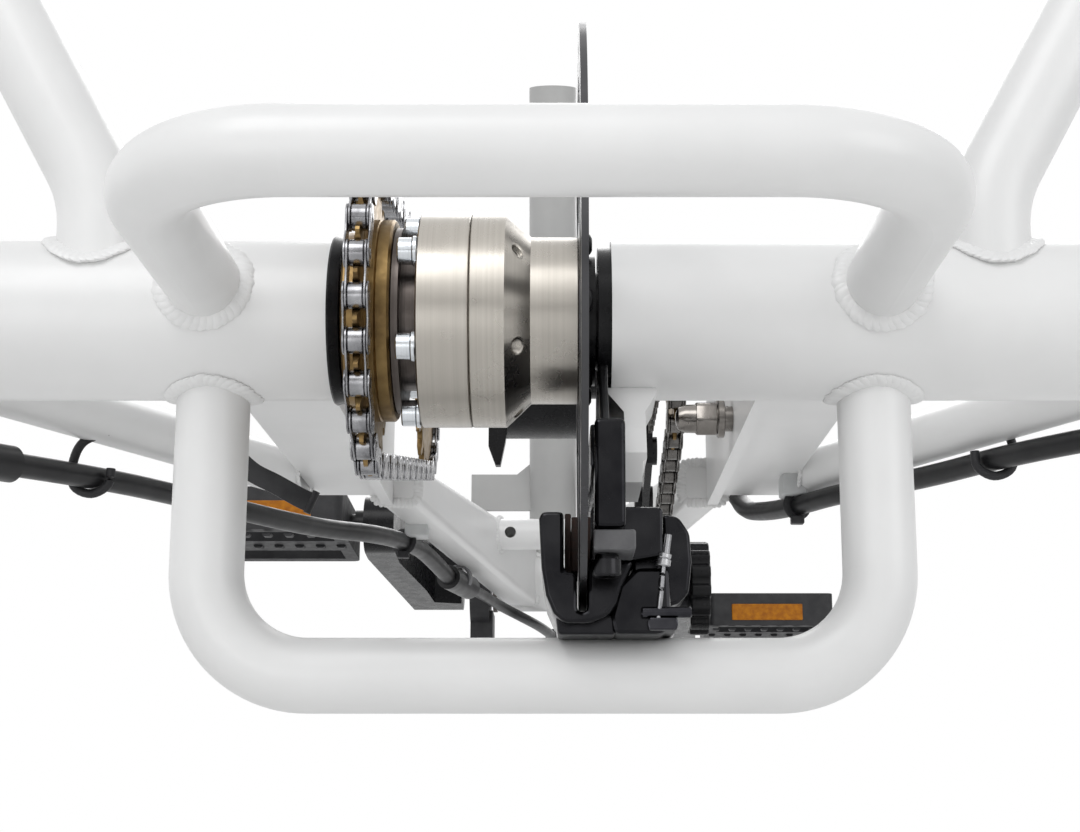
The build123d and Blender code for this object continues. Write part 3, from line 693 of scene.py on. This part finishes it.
low, high = corners_mm("jackshaft")
JACK = Vector(((low.y + high.y) / 2, (low.z + high.z) / 2))
CHAIN_X, CRANK_CHAIN_X = middle_x("drive_chain"), middle_x("crank_chain")
axle_radius, crank_radius = pitch_radius(AXLE_TEETH), pitch_radius(CRANK_TEETH)
axle_pins = loop_points((0, 0), axle_radius, JACK, axle_radius, AXLE_LINKS, 0.25)
crank_pins = loop_points((CRANK.y, CRANK.z), crank_radius, JACK, pitch_radius(JACK_TEETH), CRANK_LINKS, 0.5)
chain("drive_chain", CHAIN_X, axle_pins, "chain_steel")
# The crank chain wears the darker copy of the chain steel, as painted shade.
chain("crank_chain", CRANK_CHAIN_X, crank_pins, "shaded_chain_steel")
for name, centre, count, pins in (
        ("axle_teeth", (CHAIN_X, 0, 0), AXLE_TEETH, axle_pins),
        ("jackshaft_left_teeth", (CHAIN_X, *JACK), AXLE_TEETH, axle_pins),
        ("jackshaft_right_teeth", (CRANK_CHAIN_X, *JACK), JACK_TEETH, crank_pins)):
    teeth(name, centre, count, pins, "bronze_freewheel", "frame")
teeth("chainring_teeth", (CRANK_CHAIN_X, CRANK.y, CRANK.z), CRANK_TEETH, crank_pins, "black_cast", "crank")

# %% [markdown]
# ## Differential, freewheel and disc bolts
#
# The housing is turned from two halves with a fine seam, broken edges, and six tapped holes in its
# cone. Six socket screws with washers hold it to the freewheel's carrier, 60 degrees apart.

# %% Differential
DRUM, NECK, BORE = 32.8, 25.6, 9.5
CONE_START, CONE_END = -11.3, -3.8
CONE_HOLE_X, CONE_HOLE_CIRCLE = -7.45, 29.2
SCREW_CIRCLE, DISC_BOLT_CIRCLE = 29, 24
slope = math.atan2(DRUM - NECK, CONE_END - CONE_START)


def on_cone(name, mesh, material, body, smooth=32):
    """Six copies of a piece drawn about X, square to the cone's surface."""
    piece = template(name + "_piece", leaned(mesh, -slope), material)
    return ring(name, piece, 6, CONE_HOLE_CIRCLE, 0, (CONE_HOLE_X, 0, 0), material, body, smooth)


def heads(name, profile, steps, count, radius, first, centre, material, body):
    """Screw heads in a ring, from a section given as (height, radius) corners."""
    piece = template(name + "_piece", leaned(turned(profile, steps), -math.pi / 2), material)
    ring(name, piece, count, radius, first, centre, material, body)


section = [(-37.2, BORE), (-37.2, 32.3), (-36.8, DRUM), (-22.1, DRUM), (-21.8, 32.5), (-21.8, BORE)]
cover = turned(section, 160)
solid("drum_cover", cover, "turned_nickel", "differential", over="differential_left_cover")

section = [(-21.55, BORE), (-21.55, 32.5), (-21.25, DRUM), (CONE_START, DRUM), (CONE_END, NECK),
           (10.2, NECK), (10.6, 25.2), (10.6, BORE)]
housing = solid("drum_housing", turned(section, 160), "turned_nickel", None)
hole = turned([(-6.0, 0), (-6.0, 2.5), (3.0, 2.5), (3.0, 0)], 24)
cutter = on_cone("cutter", hole, "dark_steel", None)
cut = housing.modifiers.new("cut", "BOOLEAN")
cut.object, cut.operation, cut.solver = cutter, "DIFFERENCE", "EXACT"
view = bpy.context.evaluated_depsgraph_get()
housing.data = bpy.data.meshes.new_from_object(housing.evaluated_get(view), depsgraph=view)
housing.modifiers.clear()
bpy.data.objects.remove(cutter)
dressed(housing, "turned_nickel", "differential")
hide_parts("differential_housing")

thread = [(-5.6, 2.9)]
for i in range(7):
    thread += [(-5.6 + 0.8 * i, 2.45), (-5.2 + 0.8 * i, 2.02)]
thread += [(-0.1, 2.45), (-0.1, 2.9)]
on_cone("drum_threads", turned(thread, 24), "turned_nickel", "differential", 60)

socket_screw = [(-0.6, 0), (-0.6, 1.8), (-5.8, 1.8), (-5.8, 3.7), (-5.4, 4.0), (-1.55, 4.0), (-1.4, 3.8),
                (-1.35, 4.3), (-1.1, 4.5), (-0.2, 4.5), (0, 4.3), (0, 0)]
heads("drum_screws", socket_screw, 28, 6, SCREW_CIRCLE, 0, (-37.25, 0, 0), "bright_zinc", "differential")
button_head = [(0, 0), (0, 3.4), (0.5, 3.6), (1.5, 3.0), (2.1, 2.0), (2.1, 1.3), (1.2, 1.1), (1.2, 0)]
heads("disc_bolts", button_head, 20, 6, DISC_BOLT_CIRCLE, 30, (12.6, 0, 0), "black_cast", "differential")

# %% Freewheel
FREEWHEEL_BORE = 21.95
section = [(-59.6, FREEWHEEL_BORE), (-59.6, 26.2), (-59.0, 27.0), (-54.2, 27.0), (-54.2, 33.5), (-51.4, 33.5),
           (-51.4, 31.0), (-49.6, 31.0), (-49.2, 30.6), (-48.8, 31.0), (-45.6, 31.0), (-44.9, 30.3),
           (-44.9, 27.4), (-45.6, 26.8), (-45.6, FREEWHEEL_BORE)]
solid("freewheel_body", turned(section, 128), "bronze_freewheel", "frame", over="freewheel_ring")
section = [(-53.95, 31.0), (-53.95, 39.6), (-51.65, 39.6), (-51.65, 31.0)]
solid("freewheel_disc", turned(section, 96), "bronze_freewheel", "frame")
section = [(-60.4, 20), (-60.4, 25.2), (-63.3, 26.0), (-63.9, 25.6), (-63.9, 23.6), (-62.7, 22.8),
           (-62.7, 20)]
solid("dust_shield", turned(section, 96), "black_cast", "frame", over="freewheel_shield")

# %% [markdown]
# ## Welds
#
# Aluminium tubes are joined by a bead that is laid in small overlapping pools, which look like fish
# scales under the paint. For each joint the line where the tube meets its neighbour is worked out,
# and the row tree lays one small pool every 1.9 millimetres along it.

# %% Welds
BEAD_STEP = 1.9


def meeting(corners, direction, cylinder=None, plane=None):
    """Where lines from the corners along a direction first meet a cylinder along X or a plane."""
    line, way = [], Vector(direction).normalized()
    for corner in corners:
        p = Vector(corner)
        if cylinder:
            cy, cz, radius = cylinder
            y, z = p.y - cy, p.z - cz
            a, b, c = way.y ** 2 + way.z ** 2, y * way.y + z * way.z, y * y + z * z - radius ** 2
            if b * b < a * c:
                continue
            spot = p + way * (-b - math.sqrt(b * b - a * c)) / a
            normal = Vector((0, spot.y - cy, spot.z - cz)) / radius
        else:
            point, normal = Vector(plane[0]), Vector(plane[1])
            spot = p + way * ((point - p).dot(normal) / way.dot(normal))
        line.append((spot, (normal - 0.8 * way).normalized()))
    return line


def circle(centre, way, radius, steps=72):
    """Corners round a line through a centre."""
    way = Vector(way).normalized()
    side = way.orthogonal().normalized()
    other = way.cross(side)
    return [Vector(centre) + radius * (side * math.cos(a) + other * math.sin(a))
            for a in [math.tau * i / steps for i in range(steps)]]


def box_round(centre, way, side, width, height, radius=4, steps=6):
    """Corners of a rounded rectangle square to a line."""
    way = Vector(way).normalized()
    side = (Vector(side) - way * way.dot(Vector(side))).normalized()
    up = side.cross(way)
    points = []
    for k, (sx, sz) in enumerate(((1, 1), (-1, 1), (-1, -1), (1, -1))):
        for i in range(steps + 1):
            a = math.pi / 2 * (k + i / steps)
            x = sx * (width / 2 - radius) + radius * math.cos(a)
            z = sz * (height / 2 - radius) + radius * math.sin(a)
            points.append(Vector(centre) + side * x + up * z)
    return points


def pools(line, closed=True):
    """Evenly spaced (point, euler) places along a line of (point, normal)."""
    line = line + line[:1] if closed else line
    places, carry = [], 0.0
    for (p, n), (q, m) in zip(line, line[1:]):
        length = (q - p).length
        while carry < length:
            t = carry / length
            along, out = (q - p).normalized(), n.lerp(m, t).normalized()
            side = out.cross(along).normalized()
            turn = Matrix((along, side, along.cross(side))).transposed()
            places.append((p.lerp(q, t), turn.to_euler()))
            carry += BEAD_STEP
        carry -= length
    return places


def pool(across, along, out):
    """One small flat pool of a weld, lying on its back."""
    mesh = bmesh.new()
    bmesh.ops.create_uvsphere(mesh, u_segments=12, v_segments=6, radius=1.0)
    bmesh.ops.scale(mesh, vec=(along, across, out), verts=mesh.verts)
    return template("pool", leaned(mesh, math.radians(-12)), "white_powder_coat")


def mirrored(line):
    flip = Vector((-1, 1, 1))
    return [(p * flip, n * flip) for p, n in line]


def both_sides(lines, closed=True):
    """Bead places on each line and on its mirror image."""
    return [place for line in lines for own in (line, mirrored(line)) for place in pools(own, closed)]


# %% Joints and their beads
AXLE_RADIUS, SHELL_RADIUS = 24.5, 20.0
AXLE_TUBE, SHELL = (0, 0, AXLE_RADIUS), (CRANK.y, CRANK.z, SHELL_RADIUS)
HOOP_X, HOOP_RADIUS = 100.5, 11.1
UPRIGHT_X, UPRIGHT_RADIUS, UPRIGHT_FLAT = 136.5, 12.5, 7.5
CARRIER_SIDE, CARRIER_FRONT = 107.5, 290
OUTER_STAY_FOOT, OUTER_STAY_RADIUS = Vector((228, 0, -2)), 10.0
BEAM_REAR, BEAM_FRONT, BEAM_WIDTH = Vector((75.3, 267.4, 3.2)), Vector((17.4, 576.0, -3.4)), 20
NEAR_REAR, REAR_HEIGHT, NEAR_FRONT, FRONT_HEIGHT = 30, 19, 280, 37.5
BRIDGE_Y, BRIDGE_Z, BRIDGE_RADIUS = 461, 5, 8.5
SEAT_TUBE_RADIUS, OFF_JOINT = 14.3, 80
stay_way = Vector((-128, 262, -1)).normalized()
beam_way = (BEAM_FRONT - BEAM_REAR).normalized()
beam_side = beam_way.cross(Vector((0, 0, 1)))
seat_way = Vector((0, -math.sin(math.radians(15)), math.cos(math.radians(15))))

round_angles = [math.tau * (i + 0.5) / 48 for i in range(48)]
upright = [(UPRIGHT_X + UPRIGHT_RADIUS * math.cos(a),
            math.copysign(UPRIGHT_FLAT, math.sin(a)) + UPRIGHT_RADIUS * math.sin(a), 90)
           for a in round_angles]
outer_stay = circle(OUTER_STAY_FOOT + OFF_JOINT * stay_way, stay_way, OUTER_STAY_RADIUS)
wide_lines = [
    meeting(circle((HOOP_X, -60, 5.5), (0, 1, 0), HOOP_RADIUS), (0, 1, 0), AXLE_TUBE),
    meeting(circle((HOOP_X, 0, -60), (0, 0, 1), HOOP_RADIUS), (0, 0, 1), AXLE_TUBE),
    meeting(upright, (0, 0, -1), AXLE_TUBE),
    meeting(outer_stay, -stay_way, AXLE_TUBE),
]
beam_tail = box_round(BEAM_REAR + NEAR_REAR * beam_way, beam_way, beam_side, BEAM_WIDTH, REAR_HEIGHT)
beam_nose = box_round(BEAM_REAR + NEAR_FRONT * beam_way, beam_way, beam_side, BEAM_WIDTH, FRONT_HEIGHT)
narrow_lines = [
    meeting(outer_stay, stay_way, plane=((CARRIER_SIDE, 0, 0), (1, 0, 0))),
    meeting(beam_tail, -beam_way, plane=((0, CARRIER_FRONT, 0), (0, 1, 0))),
    meeting(beam_nose, beam_way, SHELL),
]
carrier = [(Vector((73, 18.6, 16.4)), Vector((0, 0.5, 0.86)))]
for i in range(17):
    a = math.radians(41 - 76 * i / 16)
    normal = Vector((0.7, math.cos(a), math.sin(a))).normalized()
    carrier.append((Vector((CARRIER_SIDE, AXLE_RADIUS * math.cos(a), AXLE_RADIUS * math.sin(a))), normal))
carrier.append((Vector((73, 20.0, -14.2)), Vector((0, 0.5, -0.86))))
seat_tube = circle(Vector((0, CRANK.y, CRANK.z)) + OFF_JOINT * seat_way, seat_way, SEAT_TUBE_RADIUS)
seat_foot = meeting(seat_tube, -seat_way, SHELL)
bridge_end = meeting(circle((0, BRIDGE_Y, BRIDGE_Z), (1, 0, 0), BRIDGE_RADIUS), (1, 0, 0),
                     plane=((28.7, BRIDGE_Y, BRIDGE_Z), (0.983, 0.184, 0)))
wide = both_sides(wide_lines)
narrow = both_sides(narrow_lines) + both_sides([carrier], False) + pools(seat_foot) + both_sides([bridge_end])
piece = pool(4.2, 3.3, 1.3)
row("wide_welds", wide, piece, piece, "white_powder_coat", "frame", 0.08, 7, 60)
piece = pool(2.4, 1.7, 1.0)
row("fine_welds", narrow, piece, piece, "white_powder_coat", "frame", 0.08, 8, 60)

# %% [markdown]
# ## Brake
#
# The caliper is one casting with a thin finger on the drum's side of the disc and a thicker lobe on
# the other. Its edges are rounded. It hangs on two square posts by socket bolts, and a curved arm
# with a clamped wire squeezes its pads.

# %% Caliper
outline = [(0.6, -63.4), (5.4, -63.4), (6.1, -64.4), (6.1, -80.4), (9.9, -81.0), (9.9, -90.8), (10.2, -91.8),
           (11.4, -92.3), (12.6, -91.8), (12.95, -90.8), (13.0, -81.5), (13.5, -77.6), (26.0, -77.6),
           (24.6, -81.0), (22.5, -85.3), (21.3, -89.8), (18.6, -93.4), (13.4, -95.2), (6.3, -95.4),
           (3.2, -92.6), (1.0, -87.5), (-0.3, -79.5), (-1.0, -65.5), (-0.4, -64.0)]
body = prism(outline, -25, 25, "Y", 1.1, 3)
prism([(3.6, -92.5), (20.5, -92.5), (21.0, -98.2), (4.4, -98.2)], -19, 19, "Y", 0.8, 2, body)
solid("caliper_casting", body, "caliper_black", "frame", over="caliper_body")

outline = [(13.4, -77.5), (25.6, -77.5), (34.6, -76.0), (34.6, -61.9), (24.5, -61.8), (20.0, -61.8),
           (14.4, -66)]
house = prism(outline, -24, 24, "Y", 0.9, 2)
outline = [(22.0, -84.0), (27.0, -79.0), (36.5, -79.0), (37.0, -96.0), (34.0, -98.2), (20.5, -98.2),
           (19.5, -93.0)]
prism(outline, -20, 16, "Y", 1.2, 2, house)
turned([(26, 0), (26, 14.8), (27, 15.8), (33.4, 15.8), (34.4, 14.8), (34.4, 0)], 64, (0, -78), house)
turned([(34.4, 0), (34.4, 6.5), (45, 6.5), (45, 0)], 32, (20, -80), house)
solid("actuator_housing", house, "caliper_black", "frame")
# The ears are part of the black casting; their lighter grey finish is painted light on their lit faces.
ears = bmesh.new()
for low, high in ((-46, -24), (24, 46)):
    prism([(14.2, -77.5), (25.9, -77.5), (25.9, -71.9), (14.2, -71.9)], low, high, "Y", 0.5, 2, ears)
solid("caliper_ears", ears, "lit_caliper_grey", "frame")
DIAL, GRIPS = (20, -80), 14
rim = []
for i in range(GRIPS):
    for share, radius in ((0.0, 13.2), (0.18, 14.5), (0.62, 14.5), (0.8, 13.2)):
        a = math.tau * (i + share) / GRIPS
        rim.append((DIAL[0] + radius * math.cos(a), DIAL[1] + radius * math.sin(a)))
solid("adjuster_dial", prism(rim, 44.6, 50.6, "X", 0.4, 1), "black_cast", "frame")

# %% Posts, bolts and pads
posts = bmesh.new()
for low, high in ((-46, -30), (30, 46)):
    prism([(14.6, -71.3), (23.2, -71.3), (23.2, -40.5), (14.6, -40.5)], low, high, "Y", 1.1, 3, posts)
crossbar = [(-44, -54.5), (44, -54.5), (44, -45), (39, -40.8), (-39, -40.8), (-44, -45)]
prism(crossbar, 13.5, 22.6, "X", 0.8, 2, posts)
web = [(-42, -42), (42, -42), (30, -33), (19, -18), (-19, -18), (-30, -33)]
prism(web, 16.3, 19.0, "X", 0.6, 2, posts)
solid("brake_posts", posts, "caliper_black", "frame", over="caliper_bracket")

section = [(0, 2.2), (0, 3.3), (-1.2, 3.4), (-1.4, 4.0), (-5.6, 4.1), (-6.1, 3.7), (-6.1, 2.2), (-3.0, 2.2)]
bolts = bmesh.new()
for y in (-37.5, 37.5):
    merged(bolts, stood(turned(section, 32), (18.1, y, -77.9), (0, 0, 1)))
solid("brake_bolts", bolts, "caliper_black", "frame")

pads = bmesh.new()
for low, high, one, two in ((6.4, 8.2, -80, -64), (8.3, 10.3, -79, -65), (12.9, 14.0, -79.5, -65)):
    outline = [(-13, one), (13, one), (13, two + 2), (9, two), (-9, two), (-13, two + 2)]
    prism(outline, low, high, "X", 0.25, 1, pads)
solid("pads", pads, "pad_compound", "frame", over="brake_pads")

# %% Arm, wire and stop
arm = [(34.9, -62.0), (39.8, -62.8), (43.0, -67.6), (43.5, -76.1), (42.5, -85.4), (39.4, -88.4),
       (35.6, -89.6), (35.4, -76.0)]
solid("caliper_lever", prism(arm, -12, 22, "Y", 1.0, 3), "caliper_black", "frame", over="caliper_arm")
line = smooth_line([(35.0, -23.0, -76), (34.4, -22.8, -80), (33.7, -22.4, -88), (33.0, -21.8, -94)], 1.0)
wire = rod(line, 1.5)
rod([(36.0, -23.2, -69.9), (35.2, -23.1, -75.6)], 2.3, mesh=wire)
solid("brake_wire", wire, "chain_steel", "frame")
section = [(-2.2, 0.9), (-2.2, 1.9), (-1.9, 2.2), (-0.3, 2.2), (0, 1.9), (0.3, 2.1), (1.3, 2.1),
           (1.5, 1.9), (1.5, 0.9)]
solid("wire_clamp", stood(turned(section, 24), (34.7, -22.9, -76.8), (0.15, 0, 1)), "journal_steel", "frame")
section = [(28.2, 0), (28.2, 1.2), (28.6, 1.6), (42.2, 1.6), (42.6, 1.2), (42.6, 0)]
stop = turned(section, 20, (-21.5, -92.0))
outline = [(30.3, -97.2), (38.3, -97.2), (38.8, -95), (38.3, -93.6), (30.3, -93.6), (29.8, -95)]
prism(outline, -23, 8, "Y", 0.5, 2, stop)
solid("housing_stop", stop, "blued_steel", "frame")

# %% [markdown]
# ## Nuts, cranks and pedals
#
# A domed nut with its washer ends a bolt on the right plate. Each pedal has an amber reflector front
# and back, and its treads are rows of small teeth.

# %% Domed nut
NUT = (158, 4)
nut = turned([(66.4, 0), (66.4, 6.0), (53.9, 5.5), (51.2, 4.4), (50.2, 2.4), (50.0, 0)], 40, NUT)
prism([(NUT[0] + a, NUT[1] + b) for a, b in hexagon(12.4, 0.3)], 58.0, 66.4, "X", 0.7, 2, nut)
turned([(66.5, 4), (66.5, 7.1), (66.9, 7.6), (68.9, 7.6), (69.2, 7.1), (69.2, 4)], 40, NUT, nut)
turned([(69.2, 0), (69.2, 5), (72.4, 5), (72.4, 0)], 24, NUT, nut)
solid("domed_nut", nut, "bolt_steel", "frame")

# %% Cranks and pedals
LENS_IN, LENS_OUT, LENS_HALF, LENS_AHEAD, LENS_THICK = 121, 169, 5.5, 45, 0.9
TREAD_ROWS, TREADS, FIRST_TREAD, TREAD_STEP, TREAD_FACE = (-41, 0, 41), 8, 110.5, 10.9, 10.9
for side, pedal, body in ((-1, LEFT_PEDAL, "left_pedal_body"), (1, RIGHT_PEDAL, "right_pedal_body")):
    label = "left" if side < 0 else "right"
    lens = bmesh.new()
    x0, x1 = sorted((side * LENS_IN, side * LENS_OUT))
    z0, z1 = pedal.z - LENS_HALF, pedal.z + LENS_HALF
    for face in (-1, 1):
        y = pedal.y + face * LENS_AHEAD
        near, far = sorted((y, y + face * LENS_THICK))
        prism([(x0, z0), (x1, z0), (x1, z1), (x0, z1)], near, far, "Y", 0.4, 2, lens)
    solid(label + "_reflectors", lens, "amber_reflector", body)
    tread = prism([(-2.6, 0), (2.6, 0), (1.7, 1.5), (-1.7, 1.5)], -3.4, 3.4, "Y", 0.3, 1)
    knob = template("knob", tread, "black_resin")
    places = []
    for ahead in TREAD_ROWS:
        for i in range(TREADS):
            x = side * (FIRST_TREAD + TREAD_STEP * i)
            places.append(((x, pedal.y + ahead, pedal.z + TREAD_FACE), (0, 0, 0)))
            places.append(((x, pedal.y + ahead, pedal.z - TREAD_FACE), (0, math.pi, 0)))
    row(label + "_treads", places, knob, knob, "black_resin", body)
    cap = turned([(0, 0), (0, 9.0), (0.5, 9.4), (1.6, 8.6), (1.6, 5.4), (0.8, 5.2), (0.8, 0)], 40)
    if side < 0:
        bmesh.ops.scale(cap, vec=(-1, 1, 1), verts=cap.verts)
    solid(label + "_crank_cap", moved(cap, (side * 85.0, CRANK.y, CRANK.z)), "black_resin", "crank")

low_head = [(0, 0), (0, 3.6), (0.4, 4.0), (1.6, 3.8), (1.8, 3.2), (1.8, 1.8), (0.8, 1.8), (0.8, 0)]
heads("chainring_bolts", low_head, 20, 5, 50.0, 18, (53.7, CRANK.y, CRANK.z), "journal_steel", "crank")

# %% [markdown]
# ## Cables
#
# Four cables run under the stays. Each is a smooth NURBS line led by a handful of control points,
# with a round bevel as its jacket.

# %% Cables
ROUTES = {
    "left_cable": (0.0085, 0.369, [
        (-187, 84, -28.5), (-166, 125.5, -25.7), (-142, 176, -24.6), (-115, 229.5, -24.6), (-100, 268, -22.5),
        (-80, 305, -19), (-68, 362, -15.8), (-62, 389, -18), (-55, 425, -23.5)]),
    "left_cable_front": (0.006, 0.168, [
        (-46, 462, -24.5), (-41, 490, -24.2), (-31, 537, -26.2), (-18, 556, -31), (-6, 590, -34),
        (0, 622, -36)]),
    "right_cable": (0.0085, 0.358, [
        (196, 75, -20), (173, 111, -18.7), (152, 154, -18.9), (133.5, 188, -17.9), (119.5, 207, -17.6),
        (109, 231, -17.6), (98.5, 265, -15), (90, 288, -11), (86.5, 302, 1), (82, 330, 6), (75.5, 362, 9),
        (68, 400, 9)]),
    "brake_cable": (0.005, 0.534, [
        (34, 25.4, -91.5), (34, 52, -96), (33, 90, -94), (31.5, 140, -80), (30, 200, -58), (30, 260, -40),
        (31.5, 320, -28), (33, 380, -20), (30.5, 440, -20), (25, 500, -24), (18, 548, -30)]),
}
for node, (thick, length, route) in ROUTES.items():
    line = bpy.data.curves.new(node + "_jacket", "CURVE")
    line.dimensions, line.resolution_u = "3D", 10
    line.bevel_depth, line.bevel_resolution, line.use_fill_caps = thick / 2, 5, True
    spline = line.splines.new("NURBS")
    spline.points.add(len(route) - 1)
    for point, spot in zip(spline.points, route):
        point.co = (*(AXLE + Vector(spot) / 1000), 1)
    spline.order_u, spline.use_endpoint_u = 3, True
    line.materials.append(FINISH["cable_black"])
    jacket = bpy.data.objects.new(node + "_jacket", line)
    scene.collection.objects.link(jacket)
    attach(jacket, "frame")
    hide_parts(node)
print("cables:", ", ".join(ROUTES))

# %% [markdown]
# ## Cable guides, ties and strap
#
# Two white guides sit under the stays, and a black tie with a square head holds the cable at each.
# Black hooks carry the cables further out, and a flat strap on the left ends in a short bar.

# %% Cable guides, ties and strap
ties = bmesh.new()
for spot, way, size in (((-72, 343, -16.9), (0.2, 1, 0), 9.4), ((107, 235, -17.4), (-0.3, 1, 0), 9.4)):
    spot, way = Vector(spot), Vector(way).normalized()
    rod(circle(spot, way, size / 2, 28), 3.6, 1.0, 8, across=way, closed=True, mesh=ties)
    head = prism([(-2.8, -size / 2 - 3.4), (2.8, -size / 2 - 3.4), (2.8, -size / 2), (-2.8, -size / 2)],
                 -2.4, 2.4, "Y", 0.4, 2)
    merged(ties, moved(head, spot))
for side, x, y, z in ((-1, 168, 121, -26.0), (1, 166, 124, -18.8)):
    hook = [(-5, 0, 17), (4, 0, 13), (7.4, 0, 5), (6.6, 0, -3.5), (0, 0, -6.4), (-6, 0, -3), (-6.8, 0, 3)]
    hook = smooth_line([(side * (x + a), y, z + c) for a, _, c in hook], 1.5)
    rod(hook, 3.4, mesh=ties)
strap = [(-114, 118, -20), (-108, 119, -25.0), (-100, 120, -29.0), (-91, 120, -34.0), (-86.6, 120, -36)]
rod(smooth_line(strap, 1.5), 7.6, 1.3, 8, across=(0, 1, 0), mesh=ties)
rod([(-84.8, 120, -31.8), (-88.2, 120, -39.8)], 2.8, mesh=ties)
solid("cable_ties", ties, "black_resin", "frame")

guides = bmesh.new()
outline = [(-5.5, -4.5), (5.5, -4.5), (5.5, 4.0), (3, 5.4), (-3, 5.4), (-5.5, 4.0)]
for spot in ((-65.5, 343, -10.5), (105.5, 235, -9.0)):
    merged(guides, moved(prism(outline, -7, 7, "Y", 0.8, 2), spot))
solid("cable_guides", guides, "nylon_white", "frame")
collar = turned([(-2.6, 6.0), (-2.6, 6.9), (-2.2, 7.3), (2.2, 7.3), (2.6, 6.9), (2.6, 6.0)], 40)
solid("connector_collar", stood(collar, (-50.5, 443.5, -22), (9, 37, 0)), "connector_grey", "frame")

# %% [markdown]
# ## Floor
#
# A pale floor lies where the wheels would stand.

# %% Floor
FLOOR_REACH, AXLE_HEIGHT = 6000, 305
floor_mesh = bmesh.new()
bmesh.ops.create_grid(floor_mesh, x_segments=1, y_segments=1, size=FLOOR_REACH)
moved(floor_mesh, (0, 0, -AXLE_HEIGHT))
FINISH["studio_floor"] = FINISH["white_powder_coat"].copy()
floor = solid("floor", floor_mesh, "studio_floor")
floor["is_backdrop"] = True

# %% Sizes and end
size = {"cad": [list(v) for v in CAD_BOX], "visual": [list(v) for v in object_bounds()]}
print(size)
